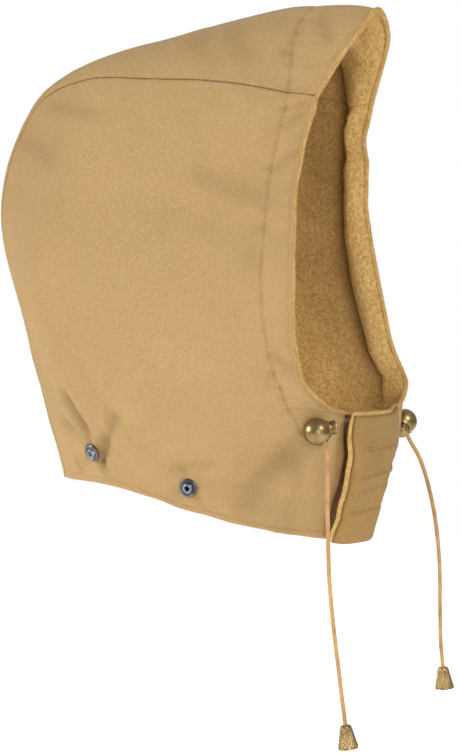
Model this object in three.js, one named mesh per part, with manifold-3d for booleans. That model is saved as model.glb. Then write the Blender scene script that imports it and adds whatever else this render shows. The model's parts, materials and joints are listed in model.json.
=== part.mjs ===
// A detachable winter hood in canvas with a fleece lining, in millimetres, +Z up, face towards -Y.
// The wearer's right side is at -X. The origin is on the lining at the crown, where a head sits.
import * as THREE from 'three';
import { mergeVertices } from 'three/addons/utils/BufferGeometryUtils.js';
import Module from 'manifold-3d';

const wasm = await Module();
wasm.setup();

// Overall sizes of the hood's outer face
const hoodWidth = 174;
const hoodDepth = 278;
const hoodHeight = 350;

// Cloth
const shellWall = 1.4;
const liningWall = 2.4;
const clearance = 0.3;
const seamClearance = 0.45;

// Face edge: the fleece turned round the edge, wider over the brow
const edgeRollClearance = 0.9;
const edgeRollProud = 0.4;
const edgeRollWideAtBrow = 5;
const edgeRollWideAtCheek = 2.4;

// Chin closure
const tapeThickness = 1.5;
const tapeClearance = 0.85;
const flapSeamClearance = 0.7;
const flapFleeceMargin = 2;

// Snap studs
const snapDiameter = 12.5;
const snapFlange = 1.4;
const snapHeight = 3;
const snapRimWide = 1.4;
const snapRecess = 0.6;
const snapPostDiameter = 6.2;
const snapHoleDiameter = 3.2;
const snapStandOff = 0.7;
const snapBevel = 0.4;

// Cord locks
const ballDiameter = 17.5;
const plungerDiameter = 9;
const plungerProud = 4;
const plungerTravel = 3;
const plungerGrooveDeep = 0.5;
const cordHoleDiameter = 4;

// Drawcord and its ends
const cordDiameter = 2.7;
const coneTopDiameter = 6.8;
const coneBottomDiameter = 13;
const coneLength = 14.5;
const coneSocketDeep = 5;
const coneMouthDeep = 3;

// Where each line over the cloth runs, from the spine of the hood round to the chin
const stations = {
  spine: 0, crown: 0.08, seam: 0.2, temple: 0.35, ear: 0.5,
  jaw: 0.65, cheek: 0.8, chinSide: 0.9, chinFront: 1,
};

// One row for each section of the cloth, from the face edge (at 0) round the crown to the hem (at 1).
// Each place is [half width, forward, up] as shares of half the hood's width, its depth and its height.
const sections = [
  {
    at: 0, spine: [0, 0.388, 0.029], crown: [0.276, 0.378, -0.014], seam: [0.483, 0.309, -0.137],
    temple: [0.621, 0.277, -0.286], ear: [0.736, 0.284, -0.443], jaw: [0.851, 0.306, -0.586],
    cheek: [0.839, 0.353, -0.677], chinSide: [0.529, 0.38, -0.711], chinFront: [0, 0.399, -0.717],
  },
  {
    at: 0.08, spine: [0, 0.237, 0.04], crown: [0.322, 0.234, -0.009], seam: [0.563, 0.245, -0.131],
    temple: [0.69, 0.216, -0.286], ear: [0.805, 0.212, -0.451], jaw: [0.908, 0.23, -0.6],
    cheek: [0.908, 0.291, -0.694], chinSide: [0.552, 0.376, -0.749], chinFront: [0, 0.396, -0.757],
  },
  {
    at: 0.17, spine: [0, 0.079, 0.026], crown: [0.391, 0.086, -0.006], seam: [0.69, 0.115, -0.111],
    temple: [0.816, 0.094, -0.297], ear: [0.92, 0.097, -0.474], jaw: [0.989, 0.137, -0.629],
    cheek: [0.931, 0.237, -0.737], chinSide: [0.529, 0.373, -0.783], chinFront: [0, 0.392, -0.791],
  },
  {
    at: 0.28, spine: [0, -0.119, -0.006], crown: [0.425, -0.108, -0.023], seam: [0.759, -0.072, -0.1],
    temple: [0.897, -0.072, -0.306], ear: [0.989, -0.036, -0.503], jaw: [1.011, 0.05, -0.663],
    cheek: [0.908, 0.209, -0.771], chinSide: [0.506, 0.362, -0.814], chinFront: [0, 0.385, -0.823],
  },
  {
    at: 0.39, spine: [0, -0.331, -0.051], crown: [0.379, -0.317, -0.057], seam: [0.69, -0.273, -0.094],
    temple: [0.908, -0.237, -0.32], ear: [1, -0.173, -0.531], jaw: [1, -0.022, -0.703],
    cheek: [0.885, 0.194, -0.806], chinSide: [0.494, 0.351, -0.843], chinFront: [0, 0.378, -0.851],
  },
  {
    at: 0.5, spine: [0, -0.507, -0.134], crown: [0.218, -0.496, -0.131], seam: [0.448, -0.453, -0.131],
    temple: [0.874, -0.381, -0.383], ear: [0.966, -0.259, -0.583], jaw: [0.977, -0.065, -0.743],
    cheek: [0.851, 0.187, -0.837], chinSide: [0.483, 0.337, -0.869], chinFront: [0, 0.37, -0.877],
  },
  {
    at: 0.65, spine: [0, -0.608, -0.331], crown: [0.218, -0.597, -0.331], seam: [0.437, -0.568, -0.331],
    temple: [0.828, -0.41, -0.52], ear: [0.943, -0.252, -0.657], jaw: [0.943, -0.05, -0.789],
    cheek: [0.805, 0.191, -0.869], chinSide: [0.471, 0.326, -0.897], chinFront: [0, 0.363, -0.906],
  },
  {
    at: 0.83, spine: [0, -0.536, -0.589], crown: [0.195, -0.529, -0.589], seam: [0.379, -0.504, -0.589],
    temple: [0.77, -0.345, -0.686], ear: [0.885, -0.18, -0.766], jaw: [0.908, 0.014, -0.843],
    cheek: [0.759, 0.209, -0.9], chinSide: [0.448, 0.319, -0.923], chinFront: [0, 0.353, -0.934],
  },
  {
    at: 1, spine: [0, -0.428, -0.863], crown: [0.172, -0.424, -0.863], seam: [0.345, -0.403, -0.863],
    temple: [0.713, -0.223, -0.86], ear: [0.828, -0.072, -0.877], jaw: [0.862, 0.079, -0.903],
    cheek: [0.713, 0.237, -0.929], chinSide: [0.425, 0.315, -0.946], chinFront: [0, 0.345, -0.957],
  },
];

// Soft folds in the side panels. Each runs from one place to another, given as [forward, up] shares of
// the depth and height. A fold's width is a share of the depth, and its depth a share of the half width.
const folds = [
  { name: 'temple hollow', from: [-0.12, -0.3], to: [0.22, -0.38], wide: 0.045, deep: 0.035 },
  { name: 'cheek valley', from: [0.26, -0.78], to: [0.07, -0.91], wide: 0.035, deep: 0.04 },
  { name: 'nape crease', from: [-0.44, -0.66], to: [-0.3, -0.8], wide: 0.03, deep: 0.035 },
  { name: 'jaw crease', from: [-0.2, -0.72], to: [-0.215, -0.81], wide: 0.028, deep: 0.03 },
];

// Places on the cloth: 'along' counts sections from the face edge to the hem, 'round' counts stations
const chinTab = { seamRound: 0.92, liftedRound: 0.975, freeEdgeRound: 1.1, topAlong: 0.005, hemAlong: 0.99 };
const rightPanelEnd = 1.02;
const tapes = [
  { name: 'closure_tape_upper', top: 0.14, bottom: 0.28 },
  { name: 'closure_tape_lower', top: 0.395, bottom: 0.565 },
];
const tapeRound = { far: 0.99, near: 0.93 };
const snaps = [
  { name: 'back', along: 0.935, round: 0.38 },
  { name: 'front', along: 0.825, round: 0.673 },
];

// Each cord lock hangs from its exit on the cloth, with its ball some way off beyond touching. Its plunger
// and its holes point along directions given as forward along the cloth, away from the cloth and up
const upperHole = [0, -0.75, 0.66];
const cordLocks = [
  {
    side: 'right', exit: { along: 0.09, round: 0.855 }, standOff: 0.6,
    plunger: [1, 0, 0.22], upperHole, lowerHole: [0.44, 0.33, -0.83],
  },
  {
    side: 'left', exit: { along: 0.12, round: 0.85 }, standOff: 2,
    plunger: [0.6, -0.55, -0.55], upperHole, lowerHole: [0.07, 0.24, -0.97],
  },
];

// The free ends of the drawcord, chosen by eye from the ball down to the brass end
const cordRoutes = {
  right: [
    [-71.2, -102.9, -263.9], [-71.1, -105.1, -267.3], [-71.1, -106.6, -271.4], [-71.1, -106.9, -280],
    [-71, -106.8, -292], [-70.8, -106.7, -306], [-70.4, -106.8, -320], [-70, -107, -336],
    [-69.7, -107.4, -350], [-69.4, -108.4, -364], [-69.1, -109.8, -378], [-68.8, -111.4, -392],
    [-68.4, -113.2, -406], [-68.1, -114.9, -420], [-67.9, -116.8, -434], [-67.6, -118.8, -448.5],
  ],
  left: [
    [75.6, -96.8, -269.4], [76.2, -97.6, -272.9], [76.9, -99.9, -278], [77.5, -104.6, -285.6],
    [77.8, -109.4, -297], [77.6, -113.4, -310], [77.4, -117, -325], [77.2, -119.4, -340],
    [76.8, -121.2, -357], [76.4, -122, -372], [76.2, -122.2, -386], [76, -122.6, -400],
    [76, -123, -414], [76, -124.4, -428], [76, -125.2, -436],
  ],
};

// Fineness of the solids
const clothCellsAlong = 17;
const sideCells = { back: 6, cheek: 8, chin: 2 };
const cheekShare = { from: 0.48, to: 0.88 };
const centreCellsRound = 8;
const flapCells = 8;
const rollSides = 5;
const roundSides = 14;
const ballSides = 14;
const cordSides = 8;
const cordSteps = 30;
const probe = 0.001;

const colours = {
  canvas: { color: 0xc4a36c, roughness: 0.85, metalness: 0 },
  fleece: { color: 0xcaa766, roughness: 0.95, metalness: 0 },
  tape: { color: 0x8f7448, roughness: 0.9, metalness: 0 },
  gunmetal: { color: 0x4b4e55, roughness: 0.35, metalness: 1 },
  brass: { color: 0x8a7748, roughness: 0.35, metalness: 1 },
  cord: { color: 0xcd9e6a, roughness: 0.6, metalness: 0 },
};

const hood = new THREE.Group();

function addPiece(name, geometry, finish) {
  const piece = new THREE.Mesh(geometry, new THREE.MeshStandardMaterial(colours[finish]));
  piece.name = name;
  hood.add(piece);
  return piece;
}

// Smooth curve through rows of values at their knots
function smoothRow(knots, rows, at) {
  const last = knots.length - 2;
  let i = 0;
  while (i < last && at >= knots[i + 1]) {
    i += 1;
  }
  const span = knots[i + 1] - knots[i];
  const t = (at - knots[i]) / span;
  return rows[i].map((_, k) => {
    const slope = (j) => (rows[j + 1][k] - rows[j][k]) / (knots[j + 1] - knots[j]);
    const inner = (j) => {
      const before = knots[j] - knots[j - 1];
      const after = knots[j + 1] - knots[j];
      return (slope(j - 1) * after + slope(j) * before) / (before + after);
    };
    const start = i > 0 ? inner(i) : 1.5 * slope(0) - 0.5 * inner(1);
    const end = i < last ? inner(i + 1) : 1.5 * slope(last) - 0.5 * inner(last);
    return (
      (2 * t ** 3 - 3 * t ** 2 + 1) * rows[i][k]
      + (t ** 3 - 2 * t ** 2 + t) * span * start
      + (3 * t ** 2 - 2 * t ** 3) * rows[i + 1][k]
      + (t ** 3 - t ** 2) * span * end
    );
  });
}

// The sections' lines are mirrored past the spine and past the chin, so the cloth is smooth there
const sectionKnots = sections.map((section) => section.at);
const stationNames = Object.keys(stations);
const mirrored = (name, centre) => ({ at: 2 * centre - stations[name], name, flip: -1 });
const lines = [
  mirrored('temple', stations.spine),
  mirrored('seam', stations.spine),
  mirrored('crown', stations.spine),
  ...stationNames.map((name) => ({ at: stations[name], name, flip: 1 })),
  mirrored('chinSide', stations.chinFront),
  mirrored('cheek', stations.chinFront),
];
const lineKnots = lines.map((line) => line.at);
const lineRows = lines.map((line) => sections.map((section) => {
  const [wide, forward, up] = section[line.name];
  return [wide * line.flip * (hoodWidth / 2), forward * hoodDepth, up * hoodHeight];
}));

// Half width, forward and up of the hood's outer face on the left side
function clothShape(along, round) {
  const rows = lineRows.map((row) => smoothRow(sectionKnots, row, along));
  return smoothRow(lineKnots, rows, round);
}

function foldDepth(along, round) {
  const { smoothstep } = THREE.MathUtils;
  const [, forward, up] = clothShape(along, round);
  const pastSeam = smoothstep(Math.abs(round), stations.seam, stations.temple);
  const pastCheek = smoothstep(Math.abs(round), stations.cheek, stations.chinSide);
  let deep = 0;
  for (const fold of folds) {
    const from = new THREE.Vector2(fold.from[0] * hoodDepth, fold.from[1] * hoodHeight);
    const to = new THREE.Vector2(fold.to[0] * hoodDepth, fold.to[1] * hoodHeight);
    const run = to.clone().sub(from);
    const place = new THREE.Vector2(forward, up).sub(from);
    const share = THREE.MathUtils.clamp(place.dot(run) / run.lengthSq(), 0, 1);
    const away = place.distanceTo(run.clone().multiplyScalar(share)) / (fold.wide * hoodDepth);
    const strength = Math.exp(-away * away) * Math.sin(Math.PI * (0.2 + 0.6 * share));
    deep += fold.deep * (hoodWidth / 2) * strength;
  }
  return deep * pastSeam * (1 - pastCheek);
}

// A point of the outer face: side is -1 for the wearer's right and 1 for the left
function facePoint(side, along, round) {
  const [wide, forward, up] = clothShape(along, round);
  return new THREE.Vector3(side * wide, -forward, up);
}

function clothFrame(side, along, round) {
  const towardsHem = facePoint(side, along + probe, round).sub(facePoint(side, along - probe, round));
  const towardsChin = facePoint(side, along, round + probe).sub(facePoint(side, along, round - probe));
  const out = towardsHem.clone().cross(towardsChin).multiplyScalar(-side).normalize();
  return { out, hemward: towardsHem.normalize() };
}

// A point that stands off the outer face by 'lift'
function clothPoint(side, along, round, lift) {
  const { out } = clothFrame(side, along, round);
  return facePoint(side, along, round).addScaledVector(out, lift - foldDepth(along, round));
}

// The way out of the cloth where a stud of some reach is set on it, folds included
function seatDirection(side, along, round, reach) {
  const hemStep = reach / alongLength(along, round);
  const chinStep = reach / roundLength(along, round);
  const hemward = clothPoint(side, along + hemStep, round, 0).sub(clothPoint(side, along - hemStep, round, 0));
  const chinward = clothPoint(side, along, round + chinStep, 0).sub(clothPoint(side, along, round - chinStep, 0));
  return hemward.cross(chinward).multiplyScalar(-side).normalize();
}

// How far the cloth runs between two values of 'round' near one place
function roundLength(along, round) {
  return facePoint(1, along, round + probe).distanceTo(facePoint(1, along, round - probe)) / (2 * probe);
}

function alongLength(along, round) {
  return facePoint(1, along + probe, round).distanceTo(facePoint(1, along - probe, round)) / (2 * probe);
}

// A closed body from loops of points with an even count, each loop facing the next. Both faces of a wall
// are split along the same diagonals, so walls that lie a clearance apart never cross
function loopBody(loops) {
  const count = loops[0].length;
  const positions = loops.flat().flatMap((point) => point.toArray());
  const faces = [];
  const quad = (a, b, c, d) => faces.push(a, b, c, a, c, d);
  for (let j = 0; j + 1 < loops.length; j += 1) {
    for (let i = 0; i < count; i += 1) {
      const next = (i + 1) % count;
      const corners = [j * count + i, j * count + next, (j + 1) * count + next, (j + 1) * count + i];
      quad(...(i < count / 2 ? corners : [...corners.slice(1), corners[0]]));
    }
  }
  const last = (loops.length - 1) * count;
  for (let i = 0; i + 1 < count / 2; i += 1) {
    quad(i + 1, i, count - 1 - i, count - 2 - i);
    quad(last + i, last + i + 1, last + count - 2 - i, last + count - 1 - i);
  }
  const geometry = new THREE.BufferGeometry();
  geometry.setAttribute('position', new THREE.Float32BufferAttribute(positions, 3));
  geometry.setIndex(signedVolume(positions, faces) < 0 ? faces.reverse() : faces);
  geometry.computeVertexNormals();
  return geometry;
}

function signedVolume(positions, faces) {
  const corner = (index) => new THREE.Vector3().fromArray(positions, 3 * index);
  let volume = 0;
  for (let i = 0; i < faces.length; i += 3) {
    volume += corner(faces[i]).dot(corner(faces[i + 1]).cross(corner(faces[i + 2])));
  }
  return volume / 6;
}

const steps = (count, from, to) => Array.from({ length: count + 1 }, (_, i) => from + ((to - from) * i) / count);

// A wall of cloth between two lifts. 'roundAt' gives the place round the hood for a share and a section
function clothPanel(side, alongs, shares, roundAt, outerLift, innerLift) {
  return loopBody(shares.map((share) => {
    const outer = alongs.map((along) => {
      const round = roundAt(share, along);
      return clothPoint(side, along, round, outerLift(round));
    });
    const inner = alongs.map((along) => {
      const round = roundAt(share, along);
      return clothPoint(side, along, round, innerLift(round));
    });
    return [...outer, ...inner.reverse()];
  }));
}

const allAlong = steps(clothCellsAlong, 0, 1);
const constant = (value) => () => value;
const seamShift = (along, round) => seamClearance / 2 / roundLength(along, round);

// Sides: from the seam to the chin. The right one ends under the flap, the left one at the flap's seam
function sideRound(end) {
  return (share, along) => {
    const from = stations.seam + seamShift(along, stations.seam);
    return from + (end(along) - from) * share;
  };
}

// Centre strip: from seam to seam across the spine
function centreRound(share, along) {
  const edge = stations.seam - seamShift(along, stations.seam);
  return edge * (2 * share - 1);
}

const shell = { outer: constant(0), inner: constant(-shellWall) };
const liningTop = -shellWall - clearance;
const lining = { outer: constant(liningTop), inner: constant(liningTop - liningWall) };
const sideEnds = {
  right: constant(rightPanelEnd),
  left: constant(chinTab.seamRound),
};
const sides = [{ name: 'right', sign: -1 }, { name: 'left', sign: 1 }];
const sideShares = [
  ...steps(sideCells.back, 0, cheekShare.from).slice(0, -1),
  ...steps(sideCells.cheek, cheekShare.from, cheekShare.to).slice(0, -1),
  ...steps(sideCells.chin, cheekShare.to, 1),
];

for (const { name, sign } of sides) {
  const round = sideRound(sideEnds[name]);
  addPiece(`shell_side_${name}`, clothPanel(sign, allAlong, sideShares, round, shell.outer, shell.inner), 'canvas');
  addPiece(`lining_side_${name}`, clothPanel(sign, allAlong, sideShares, round, lining.outer, lining.inner), 'fleece');
}
const centreShares = steps(centreCellsRound, 0, 1);
addPiece('shell_centre', clothPanel(1, allAlong, centreShares, centreRound, shell.outer, shell.inner), 'canvas');
addPiece('lining_centre', clothPanel(1, allAlong, centreShares, centreRound, lining.outer, lining.inner), 'fleece');

// Rolled fleece edge round the face opening
function rollWidth(round) {
  const low = THREE.MathUtils.smoothstep(Math.abs(round), stations.seam, stations.ear);
  return THREE.MathUtils.lerp(edgeRollWideAtBrow, edgeRollWideAtCheek, low);
}

function rollLoop(round) {
  const side = round < 0 ? -1 : 1;
  const { out, hemward } = clothFrame(side, 0, Math.abs(round));
  const ahead = hemward.addScaledVector(out, -hemward.dot(out)).normalize().negate();
  const rim = clothPoint(side, 0, Math.abs(round), 0);
  const low = liningTop - liningWall - edgeRollProud;
  const middle = (edgeRollProud + low) / 2;
  return steps(rollSides, 0, Math.PI).map((angle) => rim.clone()
    .addScaledVector(ahead, edgeRollClearance + rollWidth(round) * Math.sin(angle))
    .addScaledVector(out, middle + (edgeRollProud - middle) * Math.cos(angle)));
}

// The roll bends where the panels behind it bend
const rightRounds = sideShares.map((share) => -sideRound(sideEnds.right)(share, 0)).reverse();
const centreRounds = centreShares.slice(1, -1).map((share) => centreRound(share, 0));
const leftRounds = sideShares.map((share) => sideRound(sideEnds.left)(share, 0));
addPiece('face_edge_roll', loopBody([...rightRounds, ...centreRounds, ...leftRounds].map(rollLoop)), 'fleece');

// Chin flap: sewn to the left side, lifted over the right side's end, with its own fleece backing
const flapLift = tapeThickness + 2 * tapeClearance + liningWall + clearance + shellWall;
const lifted = (round) => flapLift * THREE.MathUtils.smoothstep(round, chinTab.seamRound, chinTab.liftedRound);

const flapStart = (along) => chinTab.seamRound + flapSeamClearance / roundLength(along, chinTab.seamRound);
const flapAlongs = steps(flapCells, chinTab.topAlong, chinTab.hemAlong);
const flapShares = steps(flapCells, 0, 1);
const flapRound = (share, along) => flapStart(along) + (chinTab.freeEdgeRound - flapStart(along)) * share;

function flapPiece(alongs, shares, top, wall) {
  const outerLift = (round) => lifted(round) + top;
  return clothPanel(1, alongs, shares, flapRound, outerLift, (round) => outerLift(round) - wall);
}

// The fleece stands out past the canvas at the flap's top and at its free edge
const fleeceTop = chinTab.topAlong - flapFleeceMargin / 2 / alongLength(chinTab.topAlong, chinTab.seamRound);
const flapWide = roundLength(0.5, chinTab.freeEdgeRound) * (chinTab.freeEdgeRound - chinTab.seamRound);
const fleeceEdge = 1 + flapFleeceMargin / flapWide;
const flapFleece = flapPiece([fleeceTop, ...flapAlongs], [...flapShares, fleeceEdge], liningTop, liningWall);
addPiece('chin_flap', flapPiece(flapAlongs, flapShares, 0, shellWall), 'canvas');
addPiece('chin_flap_lining', flapFleece, 'fleece');

// Hook-and-loop closure, each pair pressed together as one piece between the flap and the right side
for (const tape of tapes) {
  const geometry = clothPanel(
    -1,
    steps(2, tape.top, tape.bottom),
    steps(flapCells / 2, tapeRound.near, tapeRound.far),
    (share) => share,
    constant(tapeClearance + tapeThickness),
    constant(tapeClearance),
  );
  addPiece(tape.name, geometry, 'tape');
}

// A turned part on the Z axis, from pairs of radius and height
function turned(profile, sidesRound) {
  const points = profile.map(([radius, height]) => new THREE.Vector2(radius, height));
  return new THREE.LatheGeometry(points, sidesRound).rotateX(Math.PI / 2);
}

function aim(piece, place, direction) {
  piece.position.copy(place);
  piece.quaternion.setFromUnitVectors(new THREE.Vector3(0, 0, 1), direction.clone().normalize());
}

// Snap stud: flange with a raised rim, a recess and a hollow post
function snapProfile() {
  const outer = snapDiameter / 2;
  const post = snapPostDiameter / 2;
  const hole = snapHoleDiameter / 2;
  const floor = snapFlange - snapRecess;
  return [
    [0, 0], [outer, 0], [outer, snapFlange - snapBevel], [outer - snapBevel, snapFlange],
    [outer - snapRimWide - snapBevel, snapFlange], [outer - snapRimWide - 2 * snapBevel, floor], [post, floor],
    [post, snapHeight - snapBevel], [post - snapBevel, snapHeight], [hole, snapHeight], [hole, floor], [0, floor],
  ];
}

for (const { name, sign } of sides) {
  for (const snap of snaps) {
    const piece = addPiece(`snap_stud_${name}_${snap.name}`, turned(snapProfile(), roundSides), 'gunmetal');
    const seat = clothPoint(sign, snap.along, snap.round, snapStandOff);
    aim(piece, seat, seatDirection(sign, snap.along, snap.round, snapDiameter / 2));
  }
}

// Cutting with manifold-3d
function solidOf(geometry) {
  const plain = geometry.clone();
  plain.deleteAttribute('normal');
  plain.deleteAttribute('uv');
  const merged = mergeVertices(plain, 1e-4);
  return new wasm.Manifold(new wasm.Mesh({
    numProp: 3,
    vertProperties: new Float32Array(merged.attributes.position.array),
    triVerts: new Uint32Array(merged.index.array),
  }));
}

function geometryOf(solid) {
  const mesh = solid.getMesh();
  const geometry = new THREE.BufferGeometry();
  geometry.setAttribute('position', new THREE.BufferAttribute(mesh.vertProperties, 3));
  geometry.setIndex(new THREE.BufferAttribute(mesh.triVerts, 1));
  geometry.computeVertexNormals();
  return geometry;
}

// A round bar from one point along a direction
function bar(from, direction, length, diameter, sidesRound) {
  const geometry = new THREE.CylinderGeometry(diameter / 2, diameter / 2, length, sidesRound);
  geometry.translate(0, length / 2, 0);
  const turn = new THREE.Quaternion().setFromUnitVectors(new THREE.Vector3(0, 1, 0), direction.clone().normalize());
  return geometry.applyQuaternion(turn).translate(from.x, from.y, from.z);
}

function plungerProfile() {
  const radius = plungerDiameter / 2;
  const end = ballDiameter / 2 + plungerProud;
  const groove = plungerProud / 5;
  const waist = radius - plungerGrooveDeep;
  return [
    [0, 0], [radius, 0], [radius, end - 4 * groove], [waist, end - 3.5 * groove], [radius, end - 3 * groove],
    [waist, end - 2.3 * groove], [radius, end - 1.6 * groove], [radius, end - groove / 2],
    [radius - groove / 2, end], [0, end],
  ];
}

// Cord locks: a ball held by the drawcord, with a spring plunger, and the short cord that it hangs from
for (const lock of cordLocks) {
  const { sign } = sides.find((side) => side.name === lock.side);
  const { out } = clothFrame(sign, lock.exit.along, lock.exit.round);
  const radius = ballDiameter / 2;
  const up = new THREE.Vector3(0, 0, 1);
  const level = out.clone().setZ(0).normalize();
  const forward = up.clone().cross(level).multiplyScalar(-sign);
  const centre = clothPoint(sign, lock.exit.along, lock.exit.round, radius + lock.standOff);
  const direction = ([ahead, away, rise]) => new THREE.Vector3()
    .addScaledVector(forward, ahead)
    .addScaledVector(level, away)
    .addScaledVector(up, rise)
    .normalize();
  const axis = direction(lock.plunger);
  const hang = direction(lock.upperHole);
  const boreStart = -plungerTravel - 1;
  const ball = solidOf(new THREE.SphereGeometry(radius, ballSides, ballSides * 0.75));
  const boreDiameter = plungerDiameter + 2 * clearance;
  const bore = solidOf(bar(axis.clone().multiplyScalar(boreStart), axis, 2 * radius, boreDiameter, roundSides));
  const [entry, leave] = [lock.upperHole, lock.lowerHole].map((way) => (
    solidOf(bar(new THREE.Vector3(), direction(way), 2 * radius, cordHoleDiameter, cordSides))
  ));
  const body = ball.subtract(bore).subtract(entry).subtract(leave);
  const ballPiece = addPiece(`cord_lock_ball_${lock.side}`, geometryOf(body), 'brass');
  ballPiece.position.copy(centre);
  const plunger = addPiece(`cord_lock_plunger_${lock.side}`, turned(plungerProfile(), roundSides), 'brass');
  aim(plunger, centre, axis);
  const stubStart = plungerDiameter / 2 + 3 * clearance;
  const stubEnd = (radius + lock.standOff - cordDiameter / 3) / Math.abs(hang.dot(out));
  const stub = bar(hang.clone().multiplyScalar(stubStart), hang, stubEnd - stubStart, cordDiameter, cordSides);
  addPiece(`drawcord_stub_${lock.side}`, stub, 'cord').position.copy(centre);
}

// Free cord ends and the brass cones on them
function coneProfile() {
  const top = coneTopDiameter / 2;
  const bottom = coneBottomDiameter / 2;
  const socket = cordHoleDiameter / 2;
  const lip = 0.6;
  return [
    [0, -coneSocketDeep], [socket, -coneSocketDeep], [socket, 0], [top - lip, 0], [top, -lip],
    [bottom, -coneLength + 2 * lip], [bottom - lip, -coneLength],
    [bottom - 2 * lip, -coneLength], [bottom - 3 * lip, coneMouthDeep - coneLength], [0, coneMouthDeep - coneLength],
  ].reverse();
}

for (const { name } of sides) {
  const points = cordRoutes[name].map((point) => new THREE.Vector3(...point));
  const path = new THREE.CatmullRomCurve3(points, false, 'centripetal');
  const ring = steps(cordSides, 0, 2 * Math.PI).slice(1).map((angle) => (
    new THREE.Vector2(Math.cos(angle), Math.sin(angle)).multiplyScalar(cordDiameter / 2)
  ));
  const section = new THREE.Shape(ring);
  const tube = new THREE.ExtrudeGeometry(section, { steps: cordSteps, extrudePath: path, bevelEnabled: false });
  addPiece(`drawcord_${name}`, tube, 'cord');
  const away = path.getTangent(1);
  const cone = addPiece(`cord_end_${name}`, turned(coneProfile(), roundSides), 'brass');
  const mouth = points[points.length - 1].clone().addScaledVector(away, clearance - coneSocketDeep);
  aim(cone, mouth, away.negate());
}

export default hood;
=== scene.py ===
import json
import math

import bmesh
import bpy
import numpy as np
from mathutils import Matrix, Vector, noise


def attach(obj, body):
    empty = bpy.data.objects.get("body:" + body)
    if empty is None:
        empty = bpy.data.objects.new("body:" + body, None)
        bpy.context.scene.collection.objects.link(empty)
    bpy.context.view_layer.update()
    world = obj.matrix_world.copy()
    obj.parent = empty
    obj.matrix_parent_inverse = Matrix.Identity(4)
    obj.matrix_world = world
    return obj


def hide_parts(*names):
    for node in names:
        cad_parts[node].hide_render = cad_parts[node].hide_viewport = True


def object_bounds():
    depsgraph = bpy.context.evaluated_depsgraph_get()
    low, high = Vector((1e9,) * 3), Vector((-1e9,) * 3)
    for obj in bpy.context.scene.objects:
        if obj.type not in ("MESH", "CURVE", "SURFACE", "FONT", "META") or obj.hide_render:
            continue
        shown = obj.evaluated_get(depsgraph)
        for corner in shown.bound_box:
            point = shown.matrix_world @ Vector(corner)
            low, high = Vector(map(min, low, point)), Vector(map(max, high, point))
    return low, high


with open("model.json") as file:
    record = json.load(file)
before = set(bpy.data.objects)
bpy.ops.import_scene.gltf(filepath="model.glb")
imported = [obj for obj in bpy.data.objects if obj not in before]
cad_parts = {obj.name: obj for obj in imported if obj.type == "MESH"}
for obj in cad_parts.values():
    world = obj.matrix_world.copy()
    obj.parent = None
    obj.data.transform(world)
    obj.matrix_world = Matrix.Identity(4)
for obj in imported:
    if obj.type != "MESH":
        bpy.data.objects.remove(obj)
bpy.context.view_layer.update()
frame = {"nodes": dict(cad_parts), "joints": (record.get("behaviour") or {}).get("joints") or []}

# All sizes are in metres. The wearer's right side is at -X, and the face opening looks towards -Y.
MM = 0.001
HOOD_WIDTH = 0.174
HOOD_DEPTH = 0.278
HOOD_HEIGHT = 0.350
SHELL_WALL = 1.4 * MM
LINING_WALL = 2.4 * MM
CLEARANCE = 0.3 * MM
LINING_TOP = -SHELL_WALL - CLEARANCE

# Camera, fitted to the photograph
VIEW_AZIMUTH = math.radians(-62)
VIEW_ELEVATION = math.radians(3.5)
VIEW_DISTANCE = 1.45
VIEW_TARGET = Vector((0, 0, -0.2318))
LENS_MM = 102.4
SENSOR_MM = 36

# Where each line over the cloth runs, from the spine of the hood round to the chin
STATIONS = {
    "spine": 0, "crown": 0.08, "seam": 0.2, "temple": 0.35, "ear": 0.5,
    "jaw": 0.65, "cheek": 0.8, "chin_side": 0.9, "chin_front": 1,
}

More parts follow.
